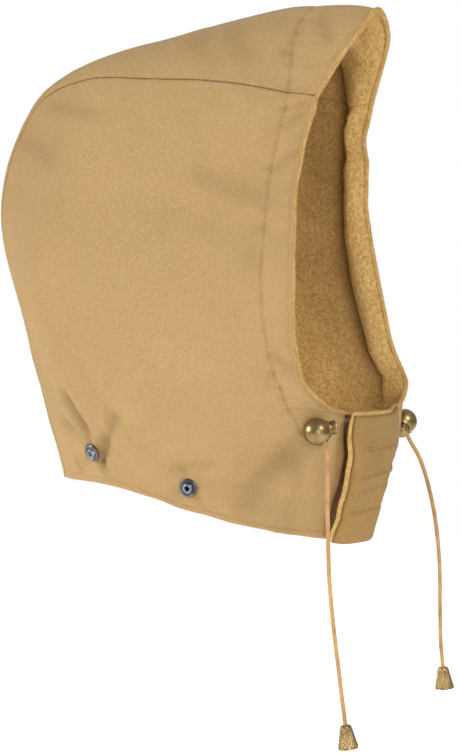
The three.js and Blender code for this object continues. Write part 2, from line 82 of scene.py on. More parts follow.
# Sections of the cloth from the face edge (along 0) round the crown to the hem (along 1). Each place is
# (half width, forward, up) as shares of half the hood's width, its depth and its height.
SECTION_LINES = ("spine", "crown", "seam", "temple", "ear", "jaw", "cheek", "chin_side", "chin_front")
SECTIONS = {
    0: (
        (0, 0.388, 0.029), (0.276, 0.378, -0.014), (0.483, 0.309, -0.137), (0.621, 0.277, -0.286),
        (0.736, 0.284, -0.443), (0.851, 0.306, -0.586), (0.839, 0.353, -0.677), (0.529, 0.38, -0.711),
        (0, 0.399, -0.717),
    ),
    0.08: (
        (0, 0.237, 0.04), (0.322, 0.234, -0.009), (0.563, 0.245, -0.131), (0.69, 0.216, -0.286),
        (0.805, 0.212, -0.451), (0.908, 0.23, -0.6), (0.908, 0.291, -0.694), (0.552, 0.376, -0.749),
        (0, 0.396, -0.757),
    ),
    0.17: (
        (0, 0.079, 0.026), (0.391, 0.086, -0.006), (0.69, 0.115, -0.111), (0.816, 0.094, -0.297),
        (0.92, 0.097, -0.474), (0.989, 0.137, -0.629), (0.931, 0.237, -0.737), (0.529, 0.373, -0.783),
        (0, 0.392, -0.791),
    ),
    0.28: (
        (0, -0.119, -0.006), (0.425, -0.108, -0.023), (0.759, -0.072, -0.1), (0.897, -0.072, -0.306),
        (0.989, -0.036, -0.503), (1.011, 0.05, -0.663), (0.908, 0.209, -0.771), (0.506, 0.362, -0.814),
        (0, 0.385, -0.823),
    ),
    0.39: (
        (0, -0.331, -0.051), (0.379, -0.317, -0.057), (0.69, -0.273, -0.094), (0.908, -0.237, -0.32),
        (1, -0.173, -0.531), (1, -0.022, -0.703), (0.885, 0.194, -0.806), (0.494, 0.351, -0.843),
        (0, 0.378, -0.851),
    ),
    0.5: (
        (0, -0.507, -0.134), (0.218, -0.496, -0.131), (0.448, -0.453, -0.131), (0.874, -0.381, -0.383),
        (0.966, -0.259, -0.583), (0.977, -0.065, -0.743), (0.851, 0.187, -0.837), (0.483, 0.337, -0.869),
        (0, 0.37, -0.877),
    ),
    0.65: (
        (0, -0.608, -0.331), (0.218, -0.597, -0.331), (0.437, -0.568, -0.331), (0.828, -0.41, -0.52),
        (0.943, -0.252, -0.657), (0.943, -0.05, -0.789), (0.805, 0.191, -0.869), (0.471, 0.326, -0.897),
        (0, 0.363, -0.906),
    ),
    0.83: (
        (0, -0.536, -0.589), (0.195, -0.529, -0.589), (0.379, -0.504, -0.589), (0.77, -0.345, -0.686),
        (0.885, -0.18, -0.766), (0.908, 0.014, -0.843), (0.759, 0.209, -0.9), (0.448, 0.319, -0.923),
        (0, 0.353, -0.934),
    ),
    1: (
        (0, -0.428, -0.863), (0.172, -0.424, -0.863), (0.345, -0.403, -0.863), (0.713, -0.223, -0.86),
        (0.828, -0.072, -0.877), (0.862, 0.079, -0.903), (0.713, 0.237, -0.929), (0.425, 0.315, -0.946),
        (0, 0.345, -0.957),
    ),
}

# Soft folds in the side panels: from and to as (forward, up) shares of depth and height, width as a
# share of the depth, depth as a share of the half width
FOLDS = (
    {"name": "temple hollow", "start": (-0.12, -0.3), "end": (0.22, -0.38), "wide": 0.045, "deep": 0.035},
    {"name": "cheek valley", "start": (0.26, -0.78), "end": (0.07, -0.91), "wide": 0.035, "deep": 0.04},
    {"name": "nape crease", "start": (-0.44, -0.66), "end": (-0.3, -0.8), "wide": 0.03, "deep": 0.035},
    {"name": "jaw crease", "start": (-0.2, -0.72), "end": (-0.215, -0.81), "wide": 0.028, "deep": 0.03},
)

# Sharper creases in the canvas, placed like the folds, with width and depth in millimetres. A softer
# ridge runs beside each one.
CREASES = (
    {"name": "nape to snap", "start": (-0.325, -0.68), "end": (-0.24, -0.771), "wide": 3.2, "deep": 3},
    {"name": "over snap", "start": (-0.138, -0.716), "end": (-0.182, -0.763), "wide": 3.4, "deep": 2},
    {"name": "beside snap", "start": (-0.182, -0.757), "end": (-0.228, -0.83), "wide": 3.4, "deep": 2.4},
    {"name": "behind snap", "start": (-0.39, -0.745), "end": (-0.268, -0.777), "wide": 4, "deep": 1.5},
    {"name": "nape hem", "start": (-0.324, -0.812), "end": (-0.314, -0.846), "wide": 1.5, "deep": 1.3},
    {"name": "front snap", "start": (0.0, -0.82), "end": (0.13, -0.803), "wide": 4, "deep": 1.3},
    {"name": "cheek", "start": (0.311, -0.75), "end": (0.15, -0.9), "wide": 9, "deep": 2.2},
    {"name": "under lock", "start": (0.31, -0.83), "end": (0.292, -0.945), "wide": 4.5, "deep": 1.3},
    {"name": "crown back", "start": (-0.04, -0.005), "end": (0.11, -0.085), "wide": 8, "deep": 1.3},
    {"name": "crown middle", "start": (0.05, 0.01), "end": (0.16, -0.075), "wide": 7, "deep": 1.1},
    {"name": "brow", "start": (0.27, 0.02), "end": (0.33, -0.045), "wide": 4.5, "deep": 1.3},
    {"name": "brow channel", "start": (0.245, 0.0), "end": (0.215, -0.07), "wide": 3.5, "deep": 1.2},
    {"name": "seam end", "start": (0.3, -0.15), "end": (0.23, -0.163), "wide": 2.6, "deep": 1.4},
    {"name": "under seam", "start": (0.285, -0.162), "end": (0.24, -0.2), "wide": 3, "deep": 1.3},
    {"name": "temple tuck", "start": (0.275, -0.235), "end": (0.225, -0.275), "wide": 3.2, "deep": 1.3},
    {"name": "temple line", "start": (0.02, -0.27), "end": (0.25, -0.335), "wide": 9, "deep": 1.4},
    {"name": "jaw tuck", "start": (0.318, -0.63), "end": (0.25, -0.6), "wide": 3.4, "deep": 1.2},
    {"name": "back line", "start": (-0.52, -0.19), "end": (-0.33, -0.25), "wide": 9, "deep": 1.4},
    {"name": "back corner", "start": (-0.43, -0.13), "end": (-0.2, -0.165), "wide": 5, "deep": 1.2},
)
CREASE_RIDGE = 0.6
CREASE_RIDGE_AWAY = 1.9

# Painted shade: how dark the cloth is painted down in a groove or crease, and the lining in the shade of the
# channel and on its band
HOLLOW_DEPTH = 3 * MM
CREASE_SHADE_SHARE = 0.75
LINING_SHADE = 0.85
LINING_SHADE_WIDE = 9 * MM
LINING_SHADE_START = -4 * MM
BAND_SHADE = 0.16

# Uneven places in the cloth: height, size of the bumps and the seed of each
RIPPLES = {
    "broad waves": {"high": 1.3 * MM, "size": 60 * MM, "seed": 3},
    "small waves": {"high": 0.6 * MM, "size": 24 * MM, "seed": 11},
    "canvas grain": {"high": 0.1 * MM, "size": 7 * MM, "seed": 5},
    "channel gathers": {"high": 0.85 * MM, "size": 6.5 * MM, "seed": 21},
    "hem gathers": {"high": 0.3 * MM, "size": 7 * MM, "seed": 31},
    "seam gathers": {"high": 0.3 * MM, "size": 9 * MM, "seed": 41},
    "face edge": {"high": 1.1 * MM, "size": 0.07, "seed": 51},
    "lining pile": {"high": 0.3 * MM, "size": 5 * MM, "seed": 7},
    "lining swell": {"high": 0.9 * MM, "size": 34 * MM, "seed": 17},
    "band waves": {"high": 0.22, "size": 0.09, "seed": 27},
    "roll curls": {"high": 0.08, "size": 3.2 * MM, "seed": 2},
    "roll swell": {"high": 0.1, "size": 11 * MM, "seed": 9},
    "flap waves": {"high": 0.5 * MM, "size": 26 * MM, "seed": 4},
    "flap grain": {"high": 0.2 * MM, "size": 9 * MM, "seed": 14},
    "flap boxes": {"high": 0.4 * MM, "size": 5 * MM, "seed": 24},
    "flap pile": {"high": 0.2 * MM, "size": 2.4 * MM, "seed": 8},
}

# Grooves pulled in by stitches, and the soft rises beside them
GROOVES = {
    "channel": {"deep": 0.75 * MM, "wide": 0.9 * MM},
    "face edge": {"deep": 0.45 * MM, "wide": 1 * MM},
    "hem": {"deep": 0.5 * MM, "wide": 1 * MM},
    "seam": {"deep": 0.9 * MM, "wide": 0.8 * MM},
    "seam stitches": {"deep": 0.5 * MM, "wide": 0.8 * MM},
    "strip edge": {"deep": 0.5 * MM, "wide": 2.2 * MM},
    "lining crease": {"deep": 1.2 * MM, "wide": 1.8 * MM},
    "brow pleat": {"deep": 2.2 * MM, "wide": 2.6 * MM},
    "flap stitches": {"deep": 0.4 * MM, "wide": 0.8 * MM},
    "flap border": {"deep": 0.8 * MM, "wide": 0.9 * MM},
    "flap box": {"deep": 0.8 * MM, "wide": 1 * MM},
    "beside box": {"deep": 0.6 * MM, "wide": 2.6 * MM},
}
CHANNEL_PUFF = 0.9 * MM
CHANNEL_REACH = 9 * MM
CHANNEL_END = (0.9, 0.84)
GATHER_START = 4 * MM
HEM_FOLD = 0.35 * MM
HEM_FOLD_EDGE = (1.5 * MM, -0.5 * MM)
HEM_GATHER_REACH = 6 * MM
SEAM_GATHER_REACH = 8 * MM
BOX_RISE_AWAY = 4 * MM

# Puckers round a snap stud
PUCKER_HIGH = 1.1 * MM
PUCKER_START = (5 * MM, 9 * MM)
PUCKER_REACH = 17 * MM
PUCKER_SINK = 0.5 * MM
PUCKER_SINK_WIDE = 12 * MM
PUCKER_STAR = ((4, 0.6), (7, 0.4))

# The face edge's own waves, and its tucks on the right (-1) and left (1) side
EDGE_WAVE_REACH = 16 * MM
EDGE_TUCKS = {
    -1: ({"round": 0.2, "wide": 0.018, "back": 1.6 * MM},),
    1: (
        {"round": 0.27, "wide": 0.03, "back": 3.6 * MM},
        {"round": 0.4, "wide": 0.03, "back": 1.6 * MM},
        {"round": 0.6, "wide": 0.04, "back": -1.2 * MM},
    ),
}

# The stitch line of the drawcord channel: (round, along)
CHANNEL_LINE = (
    (0, 0.082), (0.3, 0.08), (0.52, 0.078), (0.57, 0.072), (0.63, 0.065), (0.7, 0.059), (0.76, 0.056),
    (0.8, 0.075), (0.83, 0.1), (0.85, 0.14),
)
EDGE_STITCH_IN = 2.6 * MM
HEM_STITCH_UP = 4.2 * MM
SEAM_STITCH_IN = 2.4 * MM

# Lining: the band that puffs inwards beside the face edge, its pleat at the brow, and the nape's edge
BAND_PUFF = 8 * MM
BAND_ROUNDNESS = 0.8
BAND_FADE = 0.06
BAND_CHIN_END = (0.88, 0.78)
BROW_PLEAT_ALONG = 0.03
BROW_PLEAT_END = (0.12, 0.02)
NAPE_PEEP = 1.6 * MM
NAPE_PEEP_ALONG = 0.97
NAPE_PEEP_WIDE = 0.09
EDGE_LINING = 1.2 * MM
EDGE_LINING_REACH = 4 * MM
LINING_BEYOND_BAND = 0.8 * MM
LINING_BACK = 0.3 * MM

# Fleece roll over the face edge
ROLL_BROW = 2.1 * MM
ROLL_CHEEK = 1.3 * MM
ROLL_TOP = 0.35 * MM
ROLL_BROW_DEEPER = 0.8 * MM
ROLL_UNDER = 0.4 * MM
ROLL_BACK = 0.8 * MM
ROLL_AHEAD = 0.1 * MM

# Chin flap
FLAP_SEAM_ROUND = 0.92
FLAP_LIFTED_ROUND = 1
FLAP_STITCH_IN = 2 * MM
FLAP_TUCK_ROUND = 0.92
FLAP_TUCK_SCALE = 0.47
FLAP_TUCK_WIDE = 3.2 * MM
FLAP_TUCK_DEEP = 5 * MM
FLAP_TOP_ALONG = 0.005
FLAP_HEM_ALONG = 0.99
FLAP_EDGE = ((0, 1.104), (0.15, 1.095), (0.4, 1.091), (0.65, 1.087), (0.85, 1.093), (1, 1.099))
FLAP_FLEECE_MARGIN = 0.006
FLAP_GAPE_ROUND = 1.02
FLAP_GAPE = (5 * MM, 5 * MM, 3.5 * MM)
TAPE_THICKNESS = 1.5 * MM
TAPE_CLEARANCE = 0.85 * MM
FLAP_LIFT = TAPE_THICKNESS + 2 * TAPE_CLEARANCE + LINING_WALL + CLEARANCE + SHELL_WALL
RIGHT_PANEL_END = 1
FLAP_BOXES = (
    {"top": 0.135, "bottom": 0.29},
    {"top": 0.385, "bottom": 0.575},
)
FLAP_BOX_ROUND = (0.924, 1.072)
FLAP_BOX_SOFT = {"near": 0.002, "far": 0.01, "end": 0.02}
FLAP_SEAM_GAP = 0.0008
FLAP_FLEECE_UP = 0.014
FLAP_FLEECE_REACH = 6 * MM
FLAP_FLEECE_FOLLOW = 0.5

SNAPS = (
    {"name": "back", "along": 0.935, "round": 0.38, "pull": 1},
    {"name": "front", "along": 0.825, "round": 0.673, "pull": 0.45},
)

# The free ends of the drawcord, given from the ball down to the metal end, in millimetres
CORD_ROUTES = {
    "right": (
        (-71.2, -102.9, -263.9), (-71.1, -105.1, -267.3), (-71.1, -106.6, -271.4), (-71.1, -106.9, -280),
        (-71, -106.8, -292), (-70.8, -106.7, -306), (-70.4, -106.8, -320), (-70, -107, -336),
        (-69.7, -107.4, -350), (-69.4, -108.4, -364), (-69.1, -109.8, -378), (-68.8, -111.4, -392),
        (-68.4, -113.2, -406), (-68.1, -114.9, -420), (-67.9, -116.8, -434), (-67.6, -118.8, -448.5),
    ),
    "left": (
        (75.6, -96.8, -269.4), (76.2, -97.6, -272.9), (76.9, -99.9, -278), (77.5, -104.6, -285.6),
        (77.8, -109.4, -297), (77.6, -113.4, -310), (77.4, -117, -325), (77.2, -119.4, -340),
        (76.8, -121.2, -357), (76.4, -122, -372), (76.2, -122.2, -386), (76, -122.6, -400),
        (76, -123, -414), (76, -124.4, -428), (76, -125.2, -436),
    ),
}
CORD_DIAMETER = 2.7 * MM

SIDES = {"right": -1, "left": 1}

# Grid of each panel: (places along, places round)
CANVAS_GRID = (230, 190)
CENTRE_GRID = (230, 120)
FLEECE_GRID = (150, 130)
FLEECE_CENTRE_GRID = (170, 90)
FLAP_GRID = (130, 130)
FLAP_FLEECE_GRID = (100, 100)
CANVAS_EASE = 0.35
FLEECE_EASE = 0.4
ROUND_EASE = 0.5
ROLL_GRID = (560, 20)


def make_camera():
    data = bpy.data.cameras.new("camera")
    data.lens = LENS_MM
    data.sensor_width = SENSOR_MM
    data.clip_start = 0.01
    camera = bpy.data.objects.new("camera", data)
    bpy.context.collection.objects.link(camera)
    flat = math.cos(VIEW_ELEVATION)
    back = Vector((math.sin(VIEW_AZIMUTH) * flat, -math.cos(VIEW_AZIMUTH) * flat, math.sin(VIEW_ELEVATION)))
    camera.location = VIEW_TARGET + VIEW_DISTANCE * back
    camera.rotation_euler = back.to_track_quat("Z", "Y").to_euler()
    bpy.context.scene.camera = camera


make_camera()


# Cloth shape
def curve_weights(knots, at):
    """How much each row counts at each place of a smooth curve through rows at the knots."""
    knots, at = np.asarray(knots, float), np.asarray(at, float).ravel()
    count = len(knots)
    gap = np.diff(knots)
    rows = np.eye(count)
    slope = (rows[1:] - rows[:-1]) / gap[:, None]
    bend = np.zeros((count, count))
    for i in range(1, count - 1):
        bend[i] = (slope[i - 1] * gap[i] + slope[i] * gap[i - 1]) / (gap[i - 1] + gap[i])
    bend[0] = 1.5 * slope[0] - 0.5 * bend[1]
    bend[-1] = 1.5 * slope[-1] - 0.5 * bend[-2]
    cell = np.clip(np.searchsorted(knots, at, side="right") - 1, 0, count - 2)
    span = gap[cell][:, None]
    t = ((at - knots[cell]) / gap[cell])[:, None]
    return (
        (2 * t**3 - 3 * t**2 + 1) * rows[cell]
        + (t**3 - 2 * t**2 + t) * span * bend[cell]
        + (3 * t**2 - 2 * t**3) * rows[cell + 1]
        + (t**3 - t**2) * span * bend[cell + 1]
    )


def cloth_lines():
    """Each line over the cloth with its knot: mirrored past the spine and past the chin."""
    half = np.array([HOOD_WIDTH / 2, HOOD_DEPTH, HOOD_HEIGHT])
    rows = {
        name: np.array([SECTIONS[at][i] for at in SECTIONS]) * half for i, name in enumerate(SECTION_LINES)
    }
    mirror = np.array([-1, 1, 1])
    lines = [(-STATIONS[name], rows[name] * mirror) for name in ("temple", "seam", "crown")]
    lines += [(STATIONS[name], rows[name]) for name in SECTION_LINES]
    past_chin = ("chin_side", "cheek")
    lines += [(2 * STATIONS["chin_front"] - STATIONS[name], rows[name] * mirror) for name in past_chin]
    return np.array([knot for knot, _ in lines]), np.array([row for _, row in lines])


SECTION_KNOTS = np.array(list(SECTIONS), float)
LINE_KNOTS, LINE_ROWS = cloth_lines()


def cloth_shape(along, round_):
    """(half width, forward, up) of the outer face on the left side."""
    along, round_ = np.broadcast_arrays(np.asarray(along, float), np.asarray(round_, float))
    by_section = curve_weights(SECTION_KNOTS, along)
    by_line = curve_weights(LINE_KNOTS, round_)
    return np.einsum("ns,nl,lsk->nk", by_section, by_line, LINE_ROWS).reshape(*along.shape, 3)


def face_point(side, along, round_):
    shape = cloth_shape(along, round_)
    return shape * np.array([side, -1, 1])


def unit(vectors):
    return vectors / np.linalg.norm(vectors, axis=-1, keepdims=True)


PROBE = 0.001


def cloth_out(side, along, round_):
    hemward = face_point(side, along + PROBE, round_) - face_point(side, along - PROBE, round_)
    chinward = face_point(side, along, round_ + PROBE) - face_point(side, along, round_ - PROBE)
    return unit(-side * np.cross(hemward, chinward))


def along_length(along, round_):
    """Metres of cloth for each unit of 'along'."""
    step = face_point(1, along + PROBE, round_) - face_point(1, along - PROBE, round_)
    return np.linalg.norm(step, axis=-1) / (2 * PROBE)


def round_length(along, round_):
    """Metres of cloth for each unit of 'round'."""
    step = face_point(1, along, round_ + PROBE) - face_point(1, along, round_ - PROBE)
    return np.linalg.norm(step, axis=-1) / (2 * PROBE)


def smooth_step(x, low, high):
    t = np.clip((x - low) / (high - low), 0, 1)
    return t * t * (3 - 2 * t)


def bell(x, wide):
    return np.exp(-((x / wide) ** 2))


def ripple(points, size, seed):
    """Smooth noise between -1 and 1 at each point, with bumps of one size."""
    flat = np.asarray(points).reshape(-1, 3) / size + seed
    values = [noise.noise(Vector(point)) for point in flat]
    return np.array(values).reshape(points.shape[:-1])


def uneven(name, points):
    """Height of one of the named kinds of uneven cloth."""
    row = RIPPLES[name]
    return row["high"] * ripple(points, row["size"], row["seed"])


def groove(name, away):
    """Depth of a named groove, or height of a rise, at a distance from its line."""
    row = GROOVES[name]
    return row["deep"] * bell(away, row["wide"])


def fold_depth(along, round_):
    shape = cloth_shape(along, round_)
    past = np.abs(round_)
    on_side = smooth_step(past, STATIONS["seam"], STATIONS["temple"])
    on_side = on_side * (1 - smooth_step(past, STATIONS["cheek"], STATIONS["chin_side"]))
    size = np.array([HOOD_DEPTH, HOOD_HEIGHT])
    deep = 0
    for fold in FOLDS:
        start = np.array(fold["start"]) * size
        run = np.array(fold["end"]) * size - start
        place = shape[..., 1:] - start
        share = np.clip(place @ run / (run @ run), 0, 1)
        away = np.linalg.norm(place - share[..., None] * run, axis=-1)
        strength = bell(away, fold["wide"] * HOOD_DEPTH) * np.sin(math.pi * (0.2 + 0.6 * share))
        deep = deep + fold["deep"] * HOOD_WIDTH / 2 * strength
    return deep * on_side


def crease_relief(points):
    """Grooves with a ridge beside them, along the sharper creases."""
    size = np.array([HOOD_DEPTH, HOOD_HEIGHT])
    place = np.stack([-points[..., 1], points[..., 2]], -1)
    relief = 0
    for crease in CREASES:
        start = np.array(crease["start"]) * size
        run = np.array(crease["end"]) * size - start
        long = np.linalg.norm(run)
        offset = place - start
        share = (offset @ run) / long**2
        away = (offset[..., 0] * run[1] - offset[..., 1] * run[0]) / long
        ends = smooth_step(share, -0.1, 0.25) * smooth_step(share, 1.1, 0.75)
        wide = crease["wide"] * MM
        shape = CREASE_RIDGE * bell(away - CREASE_RIDGE_AWAY * wide, wide) - bell(away, wide)
        relief = relief + crease["deep"] * MM * ends * shape
    return relief


def channel_along(round_):
    past = np.abs(round_)
    return np.interp(past, [row[0] for row in CHANNEL_LINE], [row[1] for row in CHANNEL_LINE])


def wave_relief(points):
    stretched = points * np.array([1, 1, 0.8])
    return uneven("broad waves", stretched) + uneven("small waves", stretched)


def drape_relief(side, round_, points):
    """Soft waves, creases and the tuck under the flap, which the canvas and its lining share."""
    past = np.abs(round_)
    relief = wave_relief(points)
    relief += crease_relief(points) * smooth_step(past, STATIONS["chin_side"], STATIONS["cheek"])
    if side < 0:
        from_tuck = (past - FLAP_TUCK_ROUND) * FLAP_TUCK_SCALE
        relief -= FLAP_TUCK_DEEP * bell(from_tuck, FLAP_TUCK_WIDE)
    return relief


def sewn_relief(side, along, round_, points):
    """How far the canvas stands off its plain shape: sewn grooves, gathers and soft creases."""
    past = np.abs(round_)
    along_scale = along_length(along, round_)
    round_scale = round_length(along, round_)
    from_edge = along * along_scale
    from_hem = (1 - along) * along_scale
    from_seam = (past - STATIONS["seam"]) * round_scale
    from_channel = (along - channel_along(round_)) * along_scale
    relief = drape_relief(side, round_, points) + uneven("canvas grain", points)

    # Channel: a puffed tube between two stitch lines, with gathers across it
    channel_wide = np.maximum(channel_along(round_) * along_scale, 1 * MM)
    share = np.clip(from_edge / channel_wide, 0, 1)
    in_channel = smooth_step(past, *CHANNEL_END)
    over_channel = np.stack([past * round_scale, from_edge * 0.22, side + 0 * past], -1)
    gathers = uneven("channel gathers", over_channel)
    reach = bell(np.maximum(from_channel, 0), CHANNEL_REACH)
    relief += in_channel * (CHANNEL_PUFF * np.sin(math.pi * share) * (from_channel < 0))
    relief += in_channel * gathers * reach * smooth_step(from_edge, 0, GATHER_START)
    relief -= in_channel * groove("channel", from_channel)

    # Face edge stitched close to the roll
    relief -= groove("face edge", from_edge - EDGE_STITCH_IN)

    # Hem folded up and stitched
    over_hem = np.stack([past * round_scale, from_hem * 0.4, side + 0 * past], -1)
    hem_gathers = uneven("hem gathers", over_hem)
    outside, inside = HEM_FOLD_EDGE
    relief += HEM_FOLD * smooth_step(from_hem, HEM_STITCH_UP + outside, HEM_STITCH_UP + inside)
    relief += hem_gathers * bell(from_hem - HEM_STITCH_UP, HEM_GATHER_REACH)
    relief -= groove("hem", from_hem - HEM_STITCH_UP)

    # Panel seam: a groove, and the centre strip's folded edge raised above it
    relief -= groove("seam", from_seam)
    on_strip = from_seam < 0
    relief += on_strip * groove("strip edge", from_seam + SEAM_STITCH_IN)
    relief -= on_strip * groove("seam stitches", from_seam + SEAM_STITCH_IN)
    over_seam = np.stack([along * along_scale, from_seam * 0.5, side + 0 * past], -1)
    seam_gathers = uneven("seam gathers", over_seam)
    relief += seam_gathers * bell(from_seam, SEAM_GATHER_REACH)

    # Puckers round each snap stud, with the cloth flat under the stud
    for snap in SNAPS:
        centre = face_point(side, snap["along"], snap["round"])
        away = points - centre
        reach_out = np.linalg.norm(away, axis=-1)
        turn = np.arctan2(away[..., 2], away[..., 1])
        (rays, strong), (more_rays, weak) = PUCKER_STAR
        star = np.cos(rays * turn + side) * strong + np.cos(more_rays * turn) * weak
        pucker = smooth_step(reach_out, *PUCKER_START) * bell(reach_out, PUCKER_REACH)
        relief += snap["pull"] * PUCKER_HIGH * star * pucker
        relief -= snap["pull"] * PUCKER_SINK * bell(reach_out, PUCKER_SINK_WIDE)
    return relief


def edge_wave(side, round_):
    """How far the face edge runs back from its plain line, in small waves and tucks."""
    past = np.abs(round_)
    line = np.stack([past, 0 * past, side + 0 * past], -1)
    back = uneven("face edge", line)
    for tuck in EDGE_TUCKS[side]:
        back = back + tuck["back"] * bell(past - tuck["round"], tuck["wide"])
    return back * smooth_step(past, STATIONS["chin_side"], STATIONS["cheek"])


def cloth_point(side, along, round_, lift):
    """Points that stand off the plain shape by 'lift', with the soft folds in it."""
    out = cloth_out(side, along, round_)
    hemward = unit(face_point(side, along + PROBE, round_) - face_point(side, along - PROBE, round_))
    near_edge = bell(along * along_length(along, round_), EDGE_WAVE_REACH)
    back = edge_wave(side, round_) * near_edge
    raised = lift - fold_depth(along, round_)
    return face_point(side, along, round_) + out * raised[..., None] + hemward * back[..., None]


def canvas_point(side, along, round_, lift):
    """Points of the sewn canvas itself, creases and grooves included."""
    plain = face_point(side, along, round_)
    relief = sewn_relief(side, along, round_, plain)
    return cloth_point(side, along, round_, lift + relief)


def canvas_painted_shade(side, along, round_):
    """Painted shade for the canvas: how deep each place lies in a groove, crease or tuck, from 0 to 1, which
    darkens its colour.
    """
    plain = face_point(side, along, round_)
    drape = drape_relief(side, round_, plain)
    sewn = sewn_relief(side, along, round_, plain) - drape
    creased = drape - wave_relief(plain)
    in_crease = np.clip(-creased / (2 * HOLLOW_DEPTH), 0, 1)
    return np.clip(-sewn / HOLLOW_DEPTH, 0, 1) + CREASE_SHADE_SHARE * in_crease


def lining_painted_shade(along, round_):
    """Painted shade on the lining, from 0 to 1: darker beside the crease along the channel, and a little
    darker over the whole band.
    """
    past = np.abs(round_)
    beyond = (along - channel_along(round_)) * along_length(along, round_)
    shade = smooth_step(beyond, LINING_SHADE_START, 0) * bell(np.maximum(beyond, 0), LINING_SHADE_WIDE)
    on_band = smooth_step(beyond, 0, LINING_SHADE_START)
    off_chin = smooth_step(past, STATIONS["chin_side"], STATIONS["jaw"])
    return LINING_SHADE * shade * off_chin + BAND_SHADE * on_band


def lining_point(side, along, round_, lift):
    """Points of the lining, which follows the canvas's waves and creases but not its stitching."""
    plain = face_point(side, along, round_)
    from_seam = np.abs(round_) - STATIONS["seam"]
    at_nape = smooth_step(along, NAPE_PEEP_ALONG, 1) * bell(from_seam, NAPE_PEEP_WIDE)
    hemward = unit(face_point(side, along + PROBE, round_) - face_point(side, along - PROBE, round_))
    place = cloth_point(side, along, round_, lift + drape_relief(side, round_, plain))
    return place + hemward * (NAPE_PEEP * at_nape)[..., None]


# Meshes
def link(name, mesh):
    piece = bpy.data.objects.new(name, mesh)
    bpy.context.collection.objects.link(piece)
    return piece


def smooth_mesh(name, points, faces, uv=None, hollow=None):
    """A smooth shaded mesh with its faces outwards. uv gives each vertex a place on the cloth, and
    hollow how much painted shade darkens it, from 0 to 1: down in a groove, or beside the channel."""
    mesh = bpy.data.meshes.new(name)
    mesh.from_pydata(np.asarray(points).reshape(-1, 3).tolist(), [], [list(face) for face in faces])
    mesh.update()
    work = bmesh.new()
    work.from_mesh(mesh)
    if work.calc_volume(signed=True) < 0:
        bmesh.ops.reverse_faces(work, faces=work.faces)
    work.to_mesh(mesh)
    work.free()
    if uv is not None:
        layer = mesh.uv_layers.new(name="cloth")
        corner = np.empty(len(mesh.loops), int)
        mesh.loops.foreach_get("vertex_index", corner)
        layer.data.foreach_set("uv", np.asarray(uv).reshape(-1, 2)[corner].ravel())
    if hollow is not None:
        depths = mesh.attributes.new("hollow", "FLOAT", "POINT")
        depths.data.foreach_set("value", np.asarray(hollow).ravel())
    mesh.shade_smooth()
    return link(name, mesh)


def wall(name, outer, inner, uv, hollow):
    """A closed wall between two grids of points of the same size."""
    rows, columns = outer.shape[:2]
    number = np.arange(rows * columns).reshape(rows, columns)
    under = number + rows * columns
    over_corners = [number[:-1, :-1], number[:-1, 1:], number[1:, 1:], number[1:, :-1]]
    under_corners = [under[:-1, :-1], under[1:, :-1], under[1:, 1:], under[:-1, 1:]]
    quads = [np.stack(corners, -1).reshape(-1, 4) for corners in (over_corners, under_corners)]
    border = np.concatenate([number[0, :-1], number[:-1, -1], number[-1, :0:-1], number[:0:-1, 0]])
    after = np.roll(border, -1)
    quads.append(np.stack([after, border, border + rows * columns, after + rows * columns], -1))
    points = np.concatenate([outer.reshape(-1, 3), inner.reshape(-1, 3)])
    deep = np.concatenate([hollow.ravel()] * 2)
    places = np.concatenate([uv.reshape(-1, 2)] * 2)
    return smooth_mesh(name, points, np.concatenate(quads), places, deep)


def cloth_uv(points):
    """Metres along and across the cloth for each point of a grid."""
    down = np.linalg.norm(np.diff(points, axis=0), axis=-1)
    across = np.linalg.norm(np.diff(points, axis=1), axis=-1)
    u = np.concatenate([np.zeros((1, points.shape[1])), np.cumsum(down, axis=0)])
    v = np.concatenate([np.zeros((points.shape[0], 1)), np.cumsum(across, axis=1)], axis=1)
    return np.stack([u, v], -1)


def lathe(name, profile, place, direction, sides=64):
    """A turned piece from (radius, height) pairs, on an axis from 'place' towards 'direction'."""
    turn = Vector((0, 0, 1)).rotation_difference(Vector(direction)).to_matrix()
    angles = np.arange(sides) * 2 * math.pi / sides
    rings = np.array([
        [(radius * math.cos(angle), radius * math.sin(angle), height) for angle in angles]
        for radius, height in profile
    ])
    points = rings.reshape(-1, 3) @ np.array(turn).T + np.array(place)
    faces = []
    for i in range(len(profile) - 1):
        for j in range(sides):
            k = (j + 1) % sides
            faces.append((i * sides + j, i * sides + k, (i + 1) * sides + k, (i + 1) * sides + j))
    mesh = bpy.data.meshes.new(name)
    mesh.from_pydata(points.tolist(), [], faces)
    work = bmesh.new()
    work.from_mesh(mesh)
    bmesh.ops.remove_doubles(work, verts=work.verts, dist=1e-7)
    bmesh.ops.recalc_face_normals(work, faces=work.faces)
    work.to_mesh(mesh)
    work.free()
    mesh.shade_smooth()
    return link(name, mesh)


# Materials: the grain of each finish, from its coarse patches to its fine texture
NOISES = {
    "canvas tone": {"scale": 9, "detail": 3, "rough": 0.5},
    "canvas grain": {"scale": 520, "detail": 2, "rough": 0.7},
    "canvas wear": {"scale": 11, "detail": 2, "rough": 0.55},
    "fleece tone": {"scale": 26, "detail": 4, "rough": 0.6},
    "fleece pile": {"scale": 620, "detail": 3, "rough": 0.7},
    "fleece curls": {"scale": 330, "detail": 3, "rough": 0.75},
    "metal patina": {"scale": 110, "detail": 4, "rough": 0.6},
    "metal scratches": {"scale": 1500, "detail": 3, "rough": 0.6},
    "cord tone": {"scale": 90, "detail": 4, "rough": 0.55},
    "cord grain": {"scale": 900, "detail": 3, "rough": 0.55},
    "cord braid": {"scale": 1100, "detail": 3, "rough": 0.7},
    "floor": {"scale": 3, "detail": 3, "rough": 0.55},
}


